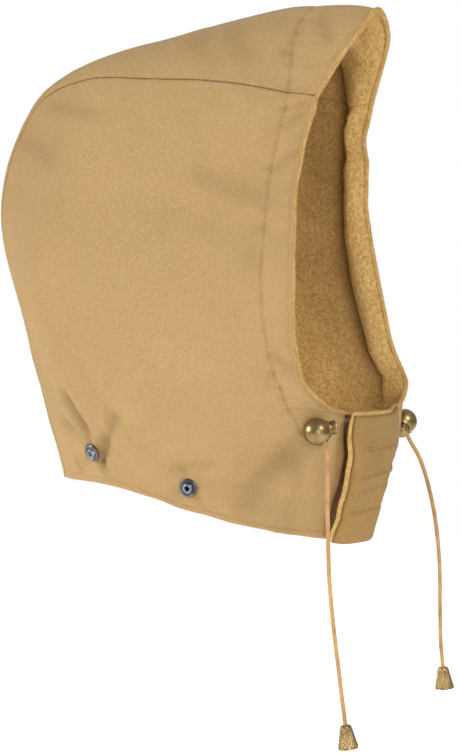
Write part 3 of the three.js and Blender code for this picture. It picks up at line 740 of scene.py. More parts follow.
class Finish:
    """A node material with a Principled shader."""

    def __init__(self, name, **sockets):
        self.material = bpy.data.materials.new(name)
        self.material.use_nodes = True
        self.tree = self.material.node_tree
        self.shader = self.tree.nodes["Principled BSDF"]
        for socket, value in sockets.items():
            self.shader.inputs[socket.replace("_", " ")].default_value = value
        self.coordinates = self.add("ShaderNodeTexCoord")

    def add(self, kind, links=(), **values):
        node = self.tree.nodes.new(kind)
        for key, value in values.items():
            if key in node.inputs:
                node.inputs[key].default_value = value
            else:
                setattr(node, key, value)
        for socket, source in dict(links).items():
            self.tree.links.new(source, node.inputs[socket])
        return node

    def noise(self, name):
        row = NOISES[name]
        return self.add(
            "ShaderNodeTexNoise", {"Vector": self.coordinates.outputs["Object"]},
            Scale=row["scale"], Detail=row["detail"], Roughness=row["rough"],
        ).outputs["Fac"]

    def wave(self, period, turn, distort):
        """Bands across the cloth's own map, turned by an angle."""
        mapping = self.add("ShaderNodeMapping", {"Vector": self.coordinates.outputs["UV"]})
        mapping.inputs["Rotation"].default_value = (0, 0, turn)
        return self.add(
            "ShaderNodeTexWave", {"Vector": mapping.outputs["Vector"]},
            Scale=math.pi / 10 / period, Distortion=distort, Detail=1.0,
        ).outputs["Fac"]

    def blend(self, amount, low, high):
        mix = self.add("ShaderNodeMix", data_type="RGBA")
        self.plug(amount, mix.inputs[0])
        self.plug(low, mix.inputs[6])
        self.plug(high, mix.inputs[7])
        return mix.outputs[2]

    def plug(self, value, socket):
        if isinstance(value, bpy.types.NodeSocket):
            self.tree.links.new(value, socket)
        else:
            socket.default_value = value

    def sum(self, a, b, kind="ADD"):
        node = self.add("ShaderNodeMath", operation=kind)
        self.plug(a, node.inputs[0])
        self.plug(b, node.inputs[1])
        return node.outputs[0]

    def stretch(self, value, low, high, to_low=0.0, to_high=1.0):
        node = self.add("ShaderNodeMapRange", {"Value": value})
        ends = {"From Min": low, "From Max": high, "To Min": to_low, "To Max": to_high}
        for socket, number in ends.items():
            node.inputs[socket].default_value = number
        return node.outputs["Result"]

    def bump(self, height, distance, strength=1.0):
        node = self.add("ShaderNodeBump", {"Height": height}, Strength=strength, Distance=distance)
        self.tree.links.new(node.outputs["Normal"], self.shader.inputs["Normal"])

    def colour(self, value):
        self.plug(value, self.shader.inputs["Base Color"])

    def rough(self, value):
        self.plug(value, self.shader.inputs["Roughness"])


def srgb(red, green, blue):
    """A colour as it looks, 0 to 255, made linear."""
    channels = [value / 255 for value in (red, green, blue)]
    linear = [c / 12.92 if c <= 0.04045 else ((c + 0.055) / 1.055) ** 2.4 for c in channels]
    return (*linear, 1.0)


WEAVE_PERIOD = 1.55 * MM
WEAVE_ANGLE = math.radians(45)
WEAVE_DISTORT = 0.35
WEAVE_SHADE = 0.28
WEAVE_BUMP = 0.22 * MM
FLEECE_BUMP = 2 * MM
METAL_BUMP = 0.04 * MM
CORD_BUMP = 0.12 * MM

# Painted shade: share of the dark tone's red, green and blue that is left down in a groove
CANVAS_SHADE_TONE = (0.34, 0.27, 0.2)
FLEECE_SHADE_TONE = (0.3, 0.24, 0.18)


def dimmed(colour, shares):
    return (*(channel * share for channel, share in zip(colour, shares)), 1.0)


def canvas_finish(name, dark, light, weave=1.0):
    finish = Finish(name, Roughness=0.9, Sheen_Weight=0.04, Sheen_Roughness=0.6)
    finish.shader.inputs["Specular IOR Level"].default_value = 0.14
    broad = finish.noise("canvas tone")
    grain = finish.noise("canvas grain")
    patches = finish.stretch(broad, 0.3, 0.7, 0.42, 0.58)
    speckle = finish.stretch(grain, 0.3, 0.7, -0.2, 0.2)
    colour = finish.blend(finish.sum(patches, speckle), dark, light)
    twill = finish.wave(WEAVE_PERIOD, WEAVE_ANGLE, WEAVE_DISTORT)
    weft = finish.wave(WEAVE_PERIOD, -WEAVE_ANGLE, WEAVE_DISTORT)
    threads = finish.sum(twill, weft, "MULTIPLY")
    patch = finish.stretch(finish.noise("canvas wear"), 0.4, 0.6, 0.7, 1.0)
    between = finish.stretch(threads, 0.1, 0.7, WEAVE_SHADE * weave, 0.0)
    shade = finish.sum(between, patch, "MULTIPLY")
    shadow = dimmed(dark, (0.5, 0.5, 0.5))
    # Painted shade: the colour darkens towards a deep brown where the hollow attribute marks a groove, crease
    # or tuck
    hollow = finish.add("ShaderNodeAttribute", attribute_name="hollow").outputs["Fac"]
    woven = finish.blend(shade, colour, shadow)
    finish.colour(finish.blend(hollow, woven, dimmed(dark, CANVAS_SHADE_TONE)))
    height = finish.sum(finish.sum(threads, patch, "MULTIPLY"), finish.sum(grain, 0.5, "MULTIPLY"))
    finish.bump(height, WEAVE_BUMP, 0.55 * weave)
    return finish.material


def fleece_finish(name, dark, light):
    finish = Finish(name, Roughness=0.95, Sheen_Weight=0.35, Sheen_Roughness=0.45)
    finish.shader.inputs["Specular IOR Level"].default_value = 0.1
    finish.shader.inputs["Sheen Tint"].default_value = light
    broad = finish.noise("fleece tone")
    pile = finish.noise("fleece pile")
    curls = finish.noise("fleece curls")
    spots = finish.stretch(finish.sum(pile, curls), 0.8, 1.25, -0.4, 0.45)
    colour = finish.blend(finish.sum(finish.stretch(broad, 0.3, 0.7, 0.25, 0.65), spots), dark, light)
    # Painted shade: the fleece darkens where the hollow attribute says it lies in shade
    hollow = finish.add("ShaderNodeAttribute", attribute_name="hollow").outputs["Fac"]
    finish.colour(finish.blend(hollow, colour, dimmed(dark, FLEECE_SHADE_TONE)))
    finish.bump(finish.sum(pile, curls), FLEECE_BUMP, 1.0)
    return finish.material


def metal_finish(name, dark, light, rough_low, rough_high):
    finish = Finish(name, Metallic=1.0)
    patina = finish.noise("metal patina")
    fine = finish.noise("metal scratches")
    finish.colour(finish.blend(finish.stretch(patina, 0.35, 0.68), dark, light))
    finish.rough(finish.stretch(patina, 0.3, 0.7, rough_high, rough_low))
    finish.bump(finish.sum(fine, patina), METAL_BUMP, 0.25)
    return finish.material


def cord_finish():
    finish = Finish("cord", Roughness=0.62)
    finish.shader.inputs["Specular IOR Level"].default_value = 0.35
    broad = finish.stretch(finish.noise("cord tone"), 0.3, 0.7)
    fine = finish.stretch(finish.noise("cord grain"), 0.3, 0.7, -0.2, 0.2)
    tone = finish.sum(broad, fine)
    finish.colour(finish.blend(tone, srgb(158, 118, 72), srgb(196, 154, 102)))
    finish.bump(finish.noise("cord braid"), CORD_BUMP, 0.5)
    return finish.material


CANVAS_DARK = srgb(165, 132, 84)
CANVAS_LIGHT = srgb(195, 163, 114)
finishes = {
    "canvas": canvas_finish("canvas", CANVAS_DARK, CANVAS_LIGHT),
    # The flap's canvas is a darker copy of the canvas: painted shade over the whole flap
    "flap_canvas_shaded": canvas_finish("flap_canvas_shaded", srgb(143, 109, 58), srgb(167, 134, 79), 0.7),
    # The lining's fleece is a lighter copy of the edge fleece: painted light for the deep inside of the hood,
    # which the band's painted shade darkens again
    "fleece": fleece_finish("fleece", srgb(190, 146, 80), srgb(244, 206, 136)),
    "edge_fleece": fleece_finish("edge_fleece", srgb(190, 150, 88), srgb(228, 190, 124)),
    "thread": canvas_finish("thread", srgb(172, 139, 88), srgb(204, 172, 118), 0.2),
    "tape": canvas_finish("tape", srgb(120, 98, 62), srgb(150, 124, 80), 0.4),
    "brass": metal_finish("brass", srgb(132, 110, 72), srgb(174, 149, 102), 0.3, 0.4),
    "gunmetal": metal_finish("gunmetal", srgb(72, 73, 76), srgb(124, 125, 128), 0.2, 0.36),
    "steel": metal_finish("steel", srgb(128, 130, 136), srgb(160, 162, 168), 0.36, 0.44),
    "shade": metal_finish("shade", srgb(12, 12, 13), srgb(22, 22, 24), 0.5, 0.7),
    "cord": cord_finish(),
}


def finish_piece(piece, finish, body="hood", replaces=()):
    piece.data.materials.clear()
    piece.data.materials.append(finishes[finish])
    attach(piece, body)
    if replaces:
        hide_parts(*replaces)
    return piece


# Drawcord ends
def cord_points(name):
    return [Vector(point) * MM for point in CORD_ROUTES[name]]


def make_cord(name):
    points = cord_points(name)
    curve = bpy.data.curves.new(f"free_cord_{name}", "CURVE")
    curve.dimensions = "3D"
    curve.bevel_depth = CORD_DIAMETER / 2
    curve.bevel_resolution = 6
    curve.resolution_u = 8
    curve.use_fill_caps = True
    spline = curve.splines.new("BEZIER")
    spline.bezier_points.add(len(points) - 1)
    for knot, point in zip(spline.bezier_points, points):
        knot.co = point
        knot.handle_left_type = knot.handle_right_type = "AUTO"
    return link(f"free_cord_{name}", curve)


cords = {name: make_cord(name) for name in SIDES}


# Cloth panels
def spaced(count, ease):
    """Shares from 0 to 1, closer together at both ends."""
    t = np.linspace(0, 1, count)
    return (1 - ease) * t + ease * (t * t * (3 - 2 * t))


SEAM_GAP = 0.12 * MM


def panel(name, side, alongs, rounds, outer_lift, thickness, material, replaces, sewn):
    """One panel of cloth on a grid of 'along' and 'round' places."""
    along, round_ = np.broadcast_to(alongs[:, None], rounds.shape), rounds
    lift = np.full(along.shape, outer_lift)
    make = canvas_point if sewn else lining_point
    outer = make(side, along, round_, lift)
    inner = make(side, along, round_, lift - thickness(along, round_))
    # hollow is painted shade: for the canvas's grooves and creases, and for the lining beside the channel
    hollow = canvas_painted_shade(side, along, round_) if sewn else lining_painted_shade(along, round_)
    piece = wall(name, outer, inner, cloth_uv(outer), hollow)
    return finish_piece(piece, material, replaces=replaces)


def side_rounds(alongs, end, count):
    start = STATIONS["seam"] + SEAM_GAP / round_length(alongs, np.full(alongs.shape, STATIONS["seam"]))
    return start[:, None] + (end - start[:, None]) * spaced(count, ROUND_EASE)[None, :]


def centre_rounds(alongs, count):
    edge = STATIONS["seam"] - SEAM_GAP / round_length(alongs, np.full(alongs.shape, STATIONS["seam"]))
    return edge[:, None] * (2 * spaced(count, ROUND_EASE)[None, :] - 1)


def shell_thickness(along, round_):
    return np.full(along.shape, SHELL_WALL)


def band_bulge(along, round_):
    """The lining puffs inwards between the face edge and the channel's stitch line."""
    share = np.clip(along / channel_along(round_), 0, 1)
    puff = np.sin(math.pi * share) ** BAND_ROUNDNESS
    beyond = smooth_step(along, channel_along(round_), channel_along(round_) + BAND_FADE)
    return puff, beyond


def lining_thickness(along, round_):
    puff, beyond = band_bulge(along, round_)
    points = face_point(1, along, round_)
    past = np.abs(round_)
    along_scale = along_length(along, round_)
    crease = groove("lining crease", (along - channel_along(round_)) * along_scale)
    pile = uneven("lining pile", points) + uneven("lining swell", points)
    chin = smooth_step(past, *BAND_CHIN_END)
    waves = 1 + uneven("band waves", np.stack([round_ * 1, along * 0, past * 0], -1))
    from_pleat = (along - BROW_PLEAT_ALONG) * along_scale
    pleat = smooth_step(past, *BROW_PLEAT_END) * groove("brow pleat", from_pleat)
    band = BAND_PUFF * puff * waves * chin
    thicker = smooth_step(along * along_scale, 0, EDGE_LINING_REACH)
    base = EDGE_LINING + (LINING_WALL - EDGE_LINING) * thicker
    return base + band + beyond * (LINING_BEYOND_BAND + pile) - crease * chin - pleat


def build_cloth():
    for name, side in SIDES.items():
        end = RIGHT_PANEL_END if name == "right" else FLAP_SEAM_ROUND
        rows, columns = CANVAS_GRID
        alongs = spaced(rows, CANVAS_EASE)
        panel(
            f"canvas_side_{name}", side, alongs, side_rounds(alongs, end, columns), 0, shell_thickness,
            "canvas", [f"shell_side_{name}"], True,
        )
        rows, columns = FLEECE_GRID
        alongs = spaced(rows, FLEECE_EASE)
        panel(
            f"fleece_side_{name}", side, alongs, side_rounds(alongs, end, columns), LINING_TOP - LINING_BACK,
            lining_thickness, "fleece", [f"lining_side_{name}"], False,
        )
    rows, columns = CENTRE_GRID
    alongs = spaced(rows, CANVAS_EASE)
    panel(
        "canvas_centre", 1, alongs, centre_rounds(alongs, columns), 0, shell_thickness,
        "canvas", ["shell_centre"], True,
    )
    rows, columns = FLEECE_CENTRE_GRID
    alongs = spaced(rows, FLEECE_EASE)
    panel(
        "fleece_centre", 1, alongs, centre_rounds(alongs, columns), LINING_TOP - LINING_BACK,
        lining_thickness, "fleece", ["lining_centre"], False,
    )


build_cloth()


def roll_points(rounds, sides):
    """The turned fleece edge: a soft tube over the edges of the canvas and the lining."""
    rings = []
    for round_ in rounds:
        side = -1 if round_ < 0 else 1
        past = np.array([abs(round_)])
        along = np.zeros(1)
        out = cloth_out(side, along, past)[0]
        hemward = unit(face_point(side, along + PROBE, past) - face_point(side, along - PROBE, past))[0]
        ahead = -unit(hemward - out * (hemward @ out))
        rim = cloth_point(side, along, past, np.zeros(1))[0]
        low = smooth_step(past[0], STATIONS["crown"], STATIONS["temple"])
        wide = ROLL_BROW * (1 - low) + ROLL_CHEEK * low
        top = ROLL_TOP
        bottom = LINING_TOP - EDGE_LINING - ROLL_BROW_DEEPER * (1 - low) - ROLL_UNDER
        middle = (top + bottom) / 2
        angles = np.linspace(0, 2 * math.pi, sides, endpoint=False)
        reach = np.where(np.sin(angles) > 0, wide, ROLL_BACK) * np.sin(angles)
        across = middle + (top - middle) * np.cos(angles)
        rings.append(rim + ahead * (reach + ROLL_AHEAD)[:, None] + out * across[:, None])
    return np.array(rings)


def closed_tube(name, rings):
    count, sides = rings.shape[:2]
    number = np.arange(count * sides).reshape(count, sides)
    beside = np.roll(number, -1, axis=1)
    quads = np.stack([number[:-1], beside[:-1], beside[1:], number[1:]], -1).reshape(-1, 4).tolist()
    faces = quads + [list(number[0][::-1]), list(number[-1])]
    return smooth_mesh(name, rings, faces)


def build_roll():
    count, sides = ROLL_GRID
    rings = roll_points(np.linspace(-RIGHT_PANEL_END, FLAP_SEAM_ROUND, count), sides)
    centre = rings.mean(axis=1, keepdims=True)
    swell = 1 + uneven("roll curls", rings) + uneven("roll swell", rings)
    rings = centre + (rings - centre) * swell[..., None]
    piece = closed_tube("fleece_edge", rings)
    return finish_piece(piece, "edge_fleece", replaces=["face_edge_roll"])


fleece_edge = build_roll()


# Chin flap
def flap_edge_round(along):
    return np.interp(along, [row[0] for row in FLAP_EDGE], [row[1] for row in FLAP_EDGE])


def flap_lift(along, round_):
    """The flap stands off the right side's end, and gapes more towards its free edge."""
    wide = np.interp(along, (0, 0.5, 1), FLAP_GAPE)
    gape = smooth_step(round_, FLAP_GAPE_ROUND, flap_edge_round(along)) * wide
    return FLAP_LIFT * smooth_step(round_, FLAP_SEAM_ROUND, FLAP_LIFTED_ROUND) + gape


def flap_relief(along, round_):
    along_scale = along_length(along, round_)
    round_scale = round_length(along, round_)
    points = face_point(1, along, round_)
    from_free = (flap_edge_round(along) - round_) * round_scale
    from_top = (along - FLAP_TOP_ALONG) * along_scale
    from_hem = (FLAP_HEM_ALONG - along) * along_scale
    relief = uneven("flap waves", points) + uneven("flap grain", points)
    relief -= groove("flap stitches", from_free - FLAP_STITCH_IN)
    for border in (from_free, from_top, from_hem):
        relief -= groove("flap border", border)
    near, far = FLAP_BOX_ROUND
    soft = FLAP_BOX_SOFT
    inside_round = smooth_step(round_, near - soft["near"], near)
    inside_round = inside_round * smooth_step(round_, far + soft["far"], far)
    beside_ends = sum(groove("flap box", (round_ - end) * round_scale) for end in (near, far))
    for box in FLAP_BOXES:
        top, bottom = box["top"], box["bottom"]
        inside_along = smooth_step(along, top - soft["end"], top)
        inside_along = inside_along * smooth_step(along, bottom + soft["end"], bottom)
        beside_rows = sum(groove("flap box", (along - end) * along_scale) for end in (top, bottom))
        relief -= np.maximum(inside_round * beside_rows, inside_along * beside_ends)
        relief += uneven("flap boxes", points) * inside_round * inside_along
    across = smooth_step(round_, FLAP_SEAM_ROUND + FLAP_BOX_SOFT["far"], near)
    for line in (box[end] for box in FLAP_BOXES for end in ("top", "bottom")):
        beside = np.abs((along - line) * along_scale)
        relief += across * groove("beside box", beside - BOX_RISE_AWAY)
    return relief


def flap_point(along, round_, lift):
    total = lift + flap_lift(along, round_) + flap_relief(along, round_)
    return cloth_point(1, along, round_, total)


def flap_grid(grid, top, margin):
    """Places of the flap from its seam to 'margin' past its free edge."""
    rows, columns = grid
    alongs = np.linspace(top, FLAP_HEM_ALONG, rows)
    start = FLAP_SEAM_ROUND + FLAP_SEAM_GAP
    edge = flap_edge_round(alongs)[:, None] + margin
    rounds = start + (edge - start) * np.linspace(0, 1, columns)[None, :]
    return np.broadcast_to(alongs[:, None], rounds.shape), rounds, edge


def build_flap():
    along, round_, _ = flap_grid(FLAP_GRID, FLAP_TOP_ALONG, 0)
    outer = flap_point(along, round_, 0)
    inner = flap_point(along, round_, -SHELL_WALL)
    # Painted shade in the flap's grooves and stitch lines
    hollow = np.clip(-flap_relief(along, round_) / HOLLOW_DEPTH, 0, 1)
    piece = wall("canvas_flap", outer, inner, cloth_uv(outer), hollow)
    finish_piece(piece, "flap_canvas_shaded", replaces=["chin_flap"])

    top = FLAP_TOP_ALONG - FLAP_FLEECE_UP
    along, round_, edge = flap_grid(FLAP_FLEECE_GRID, top, FLAP_FLEECE_MARGIN)
    fuzz = uneven("flap pile", face_point(1, along, round_))
    lift = LINING_TOP + flap_lift(along, round_) + FLAP_FLEECE_FOLLOW * flap_relief(along, round_)
    from_free = (edge - round_) * round_length(along, round_)
    thick = EDGE_LINING + (LINING_WALL - EDGE_LINING) * smooth_step(from_free, 0, FLAP_FLEECE_REACH)
    outer = cloth_point(1, along, round_, lift + fuzz)
    inner = cloth_point(1, along, round_, lift - thick - fuzz)
    piece = wall("fleece_flap", outer, inner, cloth_uv(outer), np.zeros(along.shape))
    finish_piece(piece, "edge_fleece", replaces=["chin_flap_lining"])


build_flap()


# Pile and stitches by Geometry Nodes
PILE_SIZES = {"Per square metre": 2.2e6, "Hair length": 0.8 * MM, "Hair width": 0.22 * MM}
PILE_LEAN = 1.1
PILE_SCALE = (0.35, 1.0)
PILE_SEEDS = {"place": 6, "lean": 12, "scale": 23}
STITCH_SIZES = {"Pitch": 3.0 * MM, "Stitch length": 2.4 * MM, "Thread": 0.45 * MM}
STITCH_LIFT = 0.12 * MM


def new_tree(name, sizes):
    """An empty tree that takes a geometry and the named sizes, and gives a geometry."""
    tree = bpy.data.node_groups.new(name, "GeometryNodeTree")
    face = tree.interface
    face.new_socket("Geometry", in_out="INPUT", socket_type="NodeSocketGeometry")
    for size, value in sizes.items():
        face.new_socket(size, in_out="INPUT", socket_type="NodeSocketFloat").default_value = value
    face.new_socket("Geometry", in_out="OUTPUT", socket_type="NodeSocketGeometry")
    return tree


def grown(name, guide, tree, sizes):
    """What the tree makes on a guide, as one plain mesh. The guide goes, with its modifier."""
    modifier = guide.modifiers.new(name, "NODES")
    modifier.node_group = tree
    for item in tree.interface.items_tree:
        if item.name in sizes:
            modifier[item.identifier] = sizes[item.name]
    evaluated = guide.evaluated_get(bpy.context.evaluated_depsgraph_get())
    mesh = bpy.data.meshes.new_from_object(evaluated)
    mesh.name = name
    bpy.data.objects.remove(guide)
    return link(name, mesh)


def pile_tree(material):
    tree = new_tree("pile", PILE_SIZES)
    nodes, links = tree.nodes, tree.links
    given = nodes.new("NodeGroupInput")
    made = nodes.new("NodeGroupOutput")
    scatter = nodes.new("GeometryNodeDistributePointsOnFaces")
    scatter.inputs["Seed"].default_value = PILE_SEEDS["place"]
    hair = nodes.new("GeometryNodeMeshCone")
    hair.inputs["Vertices"].default_value = 3
    hair.fill_type = "NONE"
    hair.inputs["Radius Top"].default_value = 0
    lean = nodes.new("FunctionNodeRandomValue")
    lean.data_type = "FLOAT_VECTOR"
    lean.inputs["Min"].default_value = (-PILE_LEAN, -PILE_LEAN, -PILE_LEAN)
    lean.inputs["Max"].default_value = (PILE_LEAN, PILE_LEAN, PILE_LEAN)
    lean.inputs["Seed"].default_value = PILE_SEEDS["lean"]
    direction = nodes.new("ShaderNodeVectorMath")
    aim = nodes.new("FunctionNodeAlignRotationToVector")
    aim.axis = "Z"
    spread = nodes.new("FunctionNodeRandomValue")
    spread.data_type = "FLOAT"
    spread.inputs["Min"].default_value, spread.inputs["Max"].default_value = PILE_SCALE
    spread.inputs["Seed"].default_value = PILE_SEEDS["scale"]
    place = nodes.new("GeometryNodeInstanceOnPoints")
    real = nodes.new("GeometryNodeRealizeInstances")
    paint = nodes.new("GeometryNodeSetMaterial")
    paint.inputs["Material"].default_value = material
    links.new(given.outputs["Geometry"], scatter.inputs["Mesh"])
    links.new(given.outputs["Per square metre"], scatter.inputs["Density"])
    links.new(given.outputs["Hair length"], hair.inputs["Depth"])
    links.new(given.outputs["Hair width"], hair.inputs["Radius Bottom"])
    links.new(scatter.outputs["Normal"], direction.inputs[0])
    links.new(lean.outputs["Value"], direction.inputs[1])
    links.new(direction.outputs["Vector"], aim.inputs["Vector"])
    links.new(scatter.outputs["Points"], place.inputs["Points"])
    links.new(hair.outputs["Mesh"], place.inputs["Instance"])
    links.new(aim.outputs["Rotation"], place.inputs["Rotation"])
    links.new(spread.outputs[1], place.inputs["Scale"])
    links.new(place.outputs["Instances"], real.inputs["Geometry"])
    links.new(real.outputs["Geometry"], paint.inputs["Geometry"])
    links.new(paint.outputs["Geometry"], made.inputs["Geometry"])
    return tree


def grow_pile(name, piece):
    """Short hairs all over a piece."""
    guide = piece.copy()
    guide.data = piece.data.copy()
    bpy.context.collection.objects.link(guide)
    pile = grown(name, guide, pile_tree(finishes["edge_fleece"]), PILE_SIZES)
    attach(pile, "hood")
    return pile


def stitch_tree(material):
    tree = new_tree("stitches", STITCH_SIZES)
    nodes, links = tree.nodes, tree.links
    given = nodes.new("NodeGroupInput")
    made = nodes.new("NodeGroupOutput")
    to_curve = nodes.new("GeometryNodeMeshToCurve")
    resample = nodes.new("GeometryNodeResampleCurve")
    resample.mode = "LENGTH"
    stitch = nodes.new("GeometryNodeMeshUVSphere")
    stitch.inputs["Segments"].default_value = 6
    stitch.inputs["Rings"].default_value = 5
    stitch.inputs["Radius"].default_value = 0.5
    size = nodes.new("ShaderNodeCombineXYZ")
    shaped = nodes.new("GeometryNodeTransform")
    tangent = nodes.new("GeometryNodeInputTangent")
    aim = nodes.new("FunctionNodeAlignRotationToVector")
    aim.axis = "Z"
    place = nodes.new("GeometryNodeInstanceOnPoints")
    real = nodes.new("GeometryNodeRealizeInstances")
    paint = nodes.new("GeometryNodeSetMaterial")
    paint.inputs["Material"].default_value = material
    links.new(given.outputs["Geometry"], to_curve.inputs["Mesh"])
    links.new(to_curve.outputs["Curve"], resample.inputs["Curve"])
    links.new(given.outputs["Pitch"], resample.inputs["Length"])
    links.new(resample.outputs["Curve"], place.inputs["Points"])
    links.new(stitch.outputs["Mesh"], shaped.inputs["Geometry"])
    links.new(given.outputs["Thread"], size.inputs["X"])
    links.new(given.outputs["Thread"], size.inputs["Y"])
    links.new(given.outputs["Stitch length"], size.inputs["Z"])
    links.new(size.outputs["Vector"], shaped.inputs["Scale"])
    links.new(shaped.outputs["Geometry"], place.inputs["Instance"])
    links.new(tangent.outputs["Tangent"], aim.inputs["Vector"])
    links.new(aim.outputs["Rotation"], place.inputs["Rotation"])
    links.new(place.outputs["Instances"], real.inputs["Geometry"])
    links.new(real.outputs["Geometry"], paint.inputs["Geometry"])
    links.new(paint.outputs["Geometry"], made.inputs["Geometry"])
    return tree


def sew(name, rows, tree):
    """Stitches along rows of points."""
    points, edges = [], []
    for row in rows:
        first = len(points)
        points += [tuple(point) for point in row]
        edges += [(first + i, first + i + 1) for i in range(len(row) - 1)]
    guide_mesh = bpy.data.meshes.new(f"{name}_guide")
    guide_mesh.from_pydata(points, edges, [])
    guide = link(f"{name}_guide", guide_mesh)
    piece = grown(name, guide, tree, STITCH_SIZES)
    piece.data.shade_smooth()
    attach(piece, "hood")
    return piece


def sewn_rows():
    many = np.linspace(0, 1, 260)
    lift = np.full(many.shape, STITCH_LIFT)
    seam = np.full(many.shape, STATIONS["seam"])
    rows = []
    for side in SIDES.values():
        rows.append(canvas_point(side, many, seam - SEAM_STITCH_IN / round_length(many, seam), lift))
        rounds = many * (RIGHT_PANEL_END if side < 0 else FLAP_SEAM_ROUND)
        edge = EDGE_STITCH_IN / along_length(0 * many, rounds)
        rows.append(canvas_point(side, edge, rounds, lift))
        hem = 1 - HEM_STITCH_UP / along_length(1 + 0 * many, rounds)
        rows.append(canvas_point(side, hem, rounds, lift))
        channel = many * CHANNEL_LINE[-1][0]
        rows.append(canvas_point(side, channel_along(channel), channel, lift))
    return rows


def flap_rows():
    share = np.linspace(0, 1, 120)
    along = FLAP_TOP_ALONG + (FLAP_HEM_ALONG - FLAP_TOP_ALONG) * share
    edge = flap_edge_round(along)
    free = edge - FLAP_STITCH_IN / round_length(along, edge)
    rows = [flap_point(along, free, STITCH_LIFT)]
    near, far = FLAP_BOX_ROUND
    for box in FLAP_BOXES:
        top, bottom = box["top"], box["bottom"]
        corners = [(top, near), (top, far), (bottom, far), (bottom, near), (top, near)]
        path = []
        for (a0, r0), (a1, r1) in zip(corners, corners[1:]):
            t = np.linspace(0, 1, 40)
            path.append(flap_point(a0 + (a1 - a0) * t, r0 + (r1 - r0) * t, STITCH_LIFT))
        rows.append(np.concatenate(path))
    return rows


grow_pile("edge_pile", fleece_edge)
stitches = stitch_tree(finishes["thread"])
sew("hood_stitches", sewn_rows(), stitches)
sew("flap_stitches", flap_rows(), stitches)


# Hardware
def node_points(name):
    return np.array([vertex.co for vertex in frame["nodes"][name].data.vertices])


def lock_place(name):
    """The centre of a cord lock's ball and its plunger's axis, out of the ball."""
    joint = next(joint for joint in frame["joints"] if joint["name"] == f"plunger_{name}_press")
    axis = -Vector(joint["axis"]).normalized()
    points = node_points(f"cord_lock_plunger_{name}")
    reach = points @ np.array(axis)
    base = points[reach < reach.min() + NODE_END]
    return Vector((base.min(axis=0) + base.max(axis=0)) / 2), axis


def stud_place(name):
    """The middle of a stud's back and its axis, away from the cloth."""
    points = node_points(name)
    middle = points.mean(axis=0)
    axis = np.linalg.svd(points - middle)[2][2]
    axis = axis * np.sign(axis[0] * middle[0])
    reach = points @ axis
    base = points[reach < reach.min() + NODE_END]
    return Vector((base.min(axis=0) + base.max(axis=0)) / 2), Vector(axis)


def millimetres(*pairs):
    return [(radius * MM, height * MM) for radius, height in pairs]


STUD_PROFILE = millimetres(
    (0, 0), (5.9, 0), (6.2, 0.2), (6.25, 0.9), (6.05, 1.3), (5.7, 1.45), (5.1, 1.5), (4.75, 1.4),
    (4.5, 1.15), (4.35, 0.85), (4.0, 0.8), (3.4, 0.8), (0, 0.8),
)
STUD_POST_PROFILE = millimetres(
    (0, 0.82), (1.7, 0.82), (1.7, 2.4), (1.85, 2.8), (2.3, 3.0), (2.8, 2.9), (3.15, 2.5), (3.2, 1.0),
    (3.5, 0.82), (3.5, 0.7), (0, 0.7),
)
# A near-black disc inside the post's hole: painted shade
STUD_SHADE_DISC_PROFILE = millimetres((0, 0.9), (1.68, 0.9), (1.68, 1.3), (0, 1.3))
PLUNGER_PROFILE = millimetres(
    (0, 0), (4.45, 0), (4.5, 0.2), (4.5, 8.2), (3.85, 8.5), (3.8, 8.95), (4.05, 9.15), (4.4, 9.3),
    (4.5, 9.55), (4.4, 9.8), (4.0, 9.95), (3.95, 10.15), (4.4, 10.3), (4.5, 10.55), (4.4, 10.8), (4.0, 10.95),
    (3.95, 11.15), (4.4, 11.3), (4.5, 11.6), (4.45, 12.2), (4.15, 12.6), (3.6, 12.75), (0, 12.75),
)
BALL_RADIUS = 8.75 * MM
BORE_RADIUS = 4.8 * MM
CORD_HOLE_RADIUS = 2.6 * MM
CONE_TOP_RADIUS = 3.4 * MM
CONE_BOTTOM_RADIUS = 6.5 * MM
CONE_LENGTH = 14.5 * MM
CONE_SOCKET = 5 * MM
CONE_MOUTH_DEEP = 3 * MM
KNURL_ROWS = 11
KNURL_LEAN = 2.6
KNURL_DEEP = 0.34 * MM
KNURL_TOP = (0.8 * MM, 1.6 * MM)
KNURL_BOTTOM = (13.6 * MM, 12.8 * MM)
NODE_END = 0.05 * MM
RIM_TUBE = {"bore": 0.45 * MM, "hole": 0.35 * MM}
RIM_OUT = {"bore": 0.35 * MM, "hole": 0.25 * MM}
BORE_RIM_IN = 0.1 * MM
STUB_PAST = {"low": 1.5 * MM, "high": 1.2 * MM}
UPPER_HOLE = (0, -0.75, 0.66)
LOWER_HOLES = {"right": (0.44, 0.33, -0.83), "left": (0.07, 0.24, -0.97)}
LOCK_EXITS = {"right": (0.09, 0.855), "left": (0.12, 0.85)}


def hole_direction(name, way):
    """A hole's direction, from forward along the cloth, away from the cloth and up."""
    side = SIDES[name]
    along, round_ = (np.array([value]) for value in LOCK_EXITS[name])
    out = Vector(cloth_out(side, along, round_)[0])
    level = Vector((out.x, out.y, 0)).normalized()
    up = Vector((0, 0, 1))
    forward = up.cross(level) * -side
    ahead, away, rise = way
    return (forward * ahead + level * away + up * rise).normalized()


def ring(name, centre, axis, distance, radius, thick, sides=48):
    """A rounded rim round a hole's mouth."""
    turns = np.linspace(0, 2 * math.pi, 11)
    profile = [(radius + thick * math.cos(turn), distance + thick * math.sin(turn)) for turn in turns]
    return lathe(name, profile, centre, axis, sides)


def joined(name, pieces):
    mesh = bpy.data.meshes.new(name)
    work = bmesh.new()
    for piece in pieces:
        work.from_mesh(piece.data)
        bpy.data.objects.remove(piece)
    work.to_mesh(mesh)
    work.free()
    mesh.shade_smooth()
    return link(name, mesh)


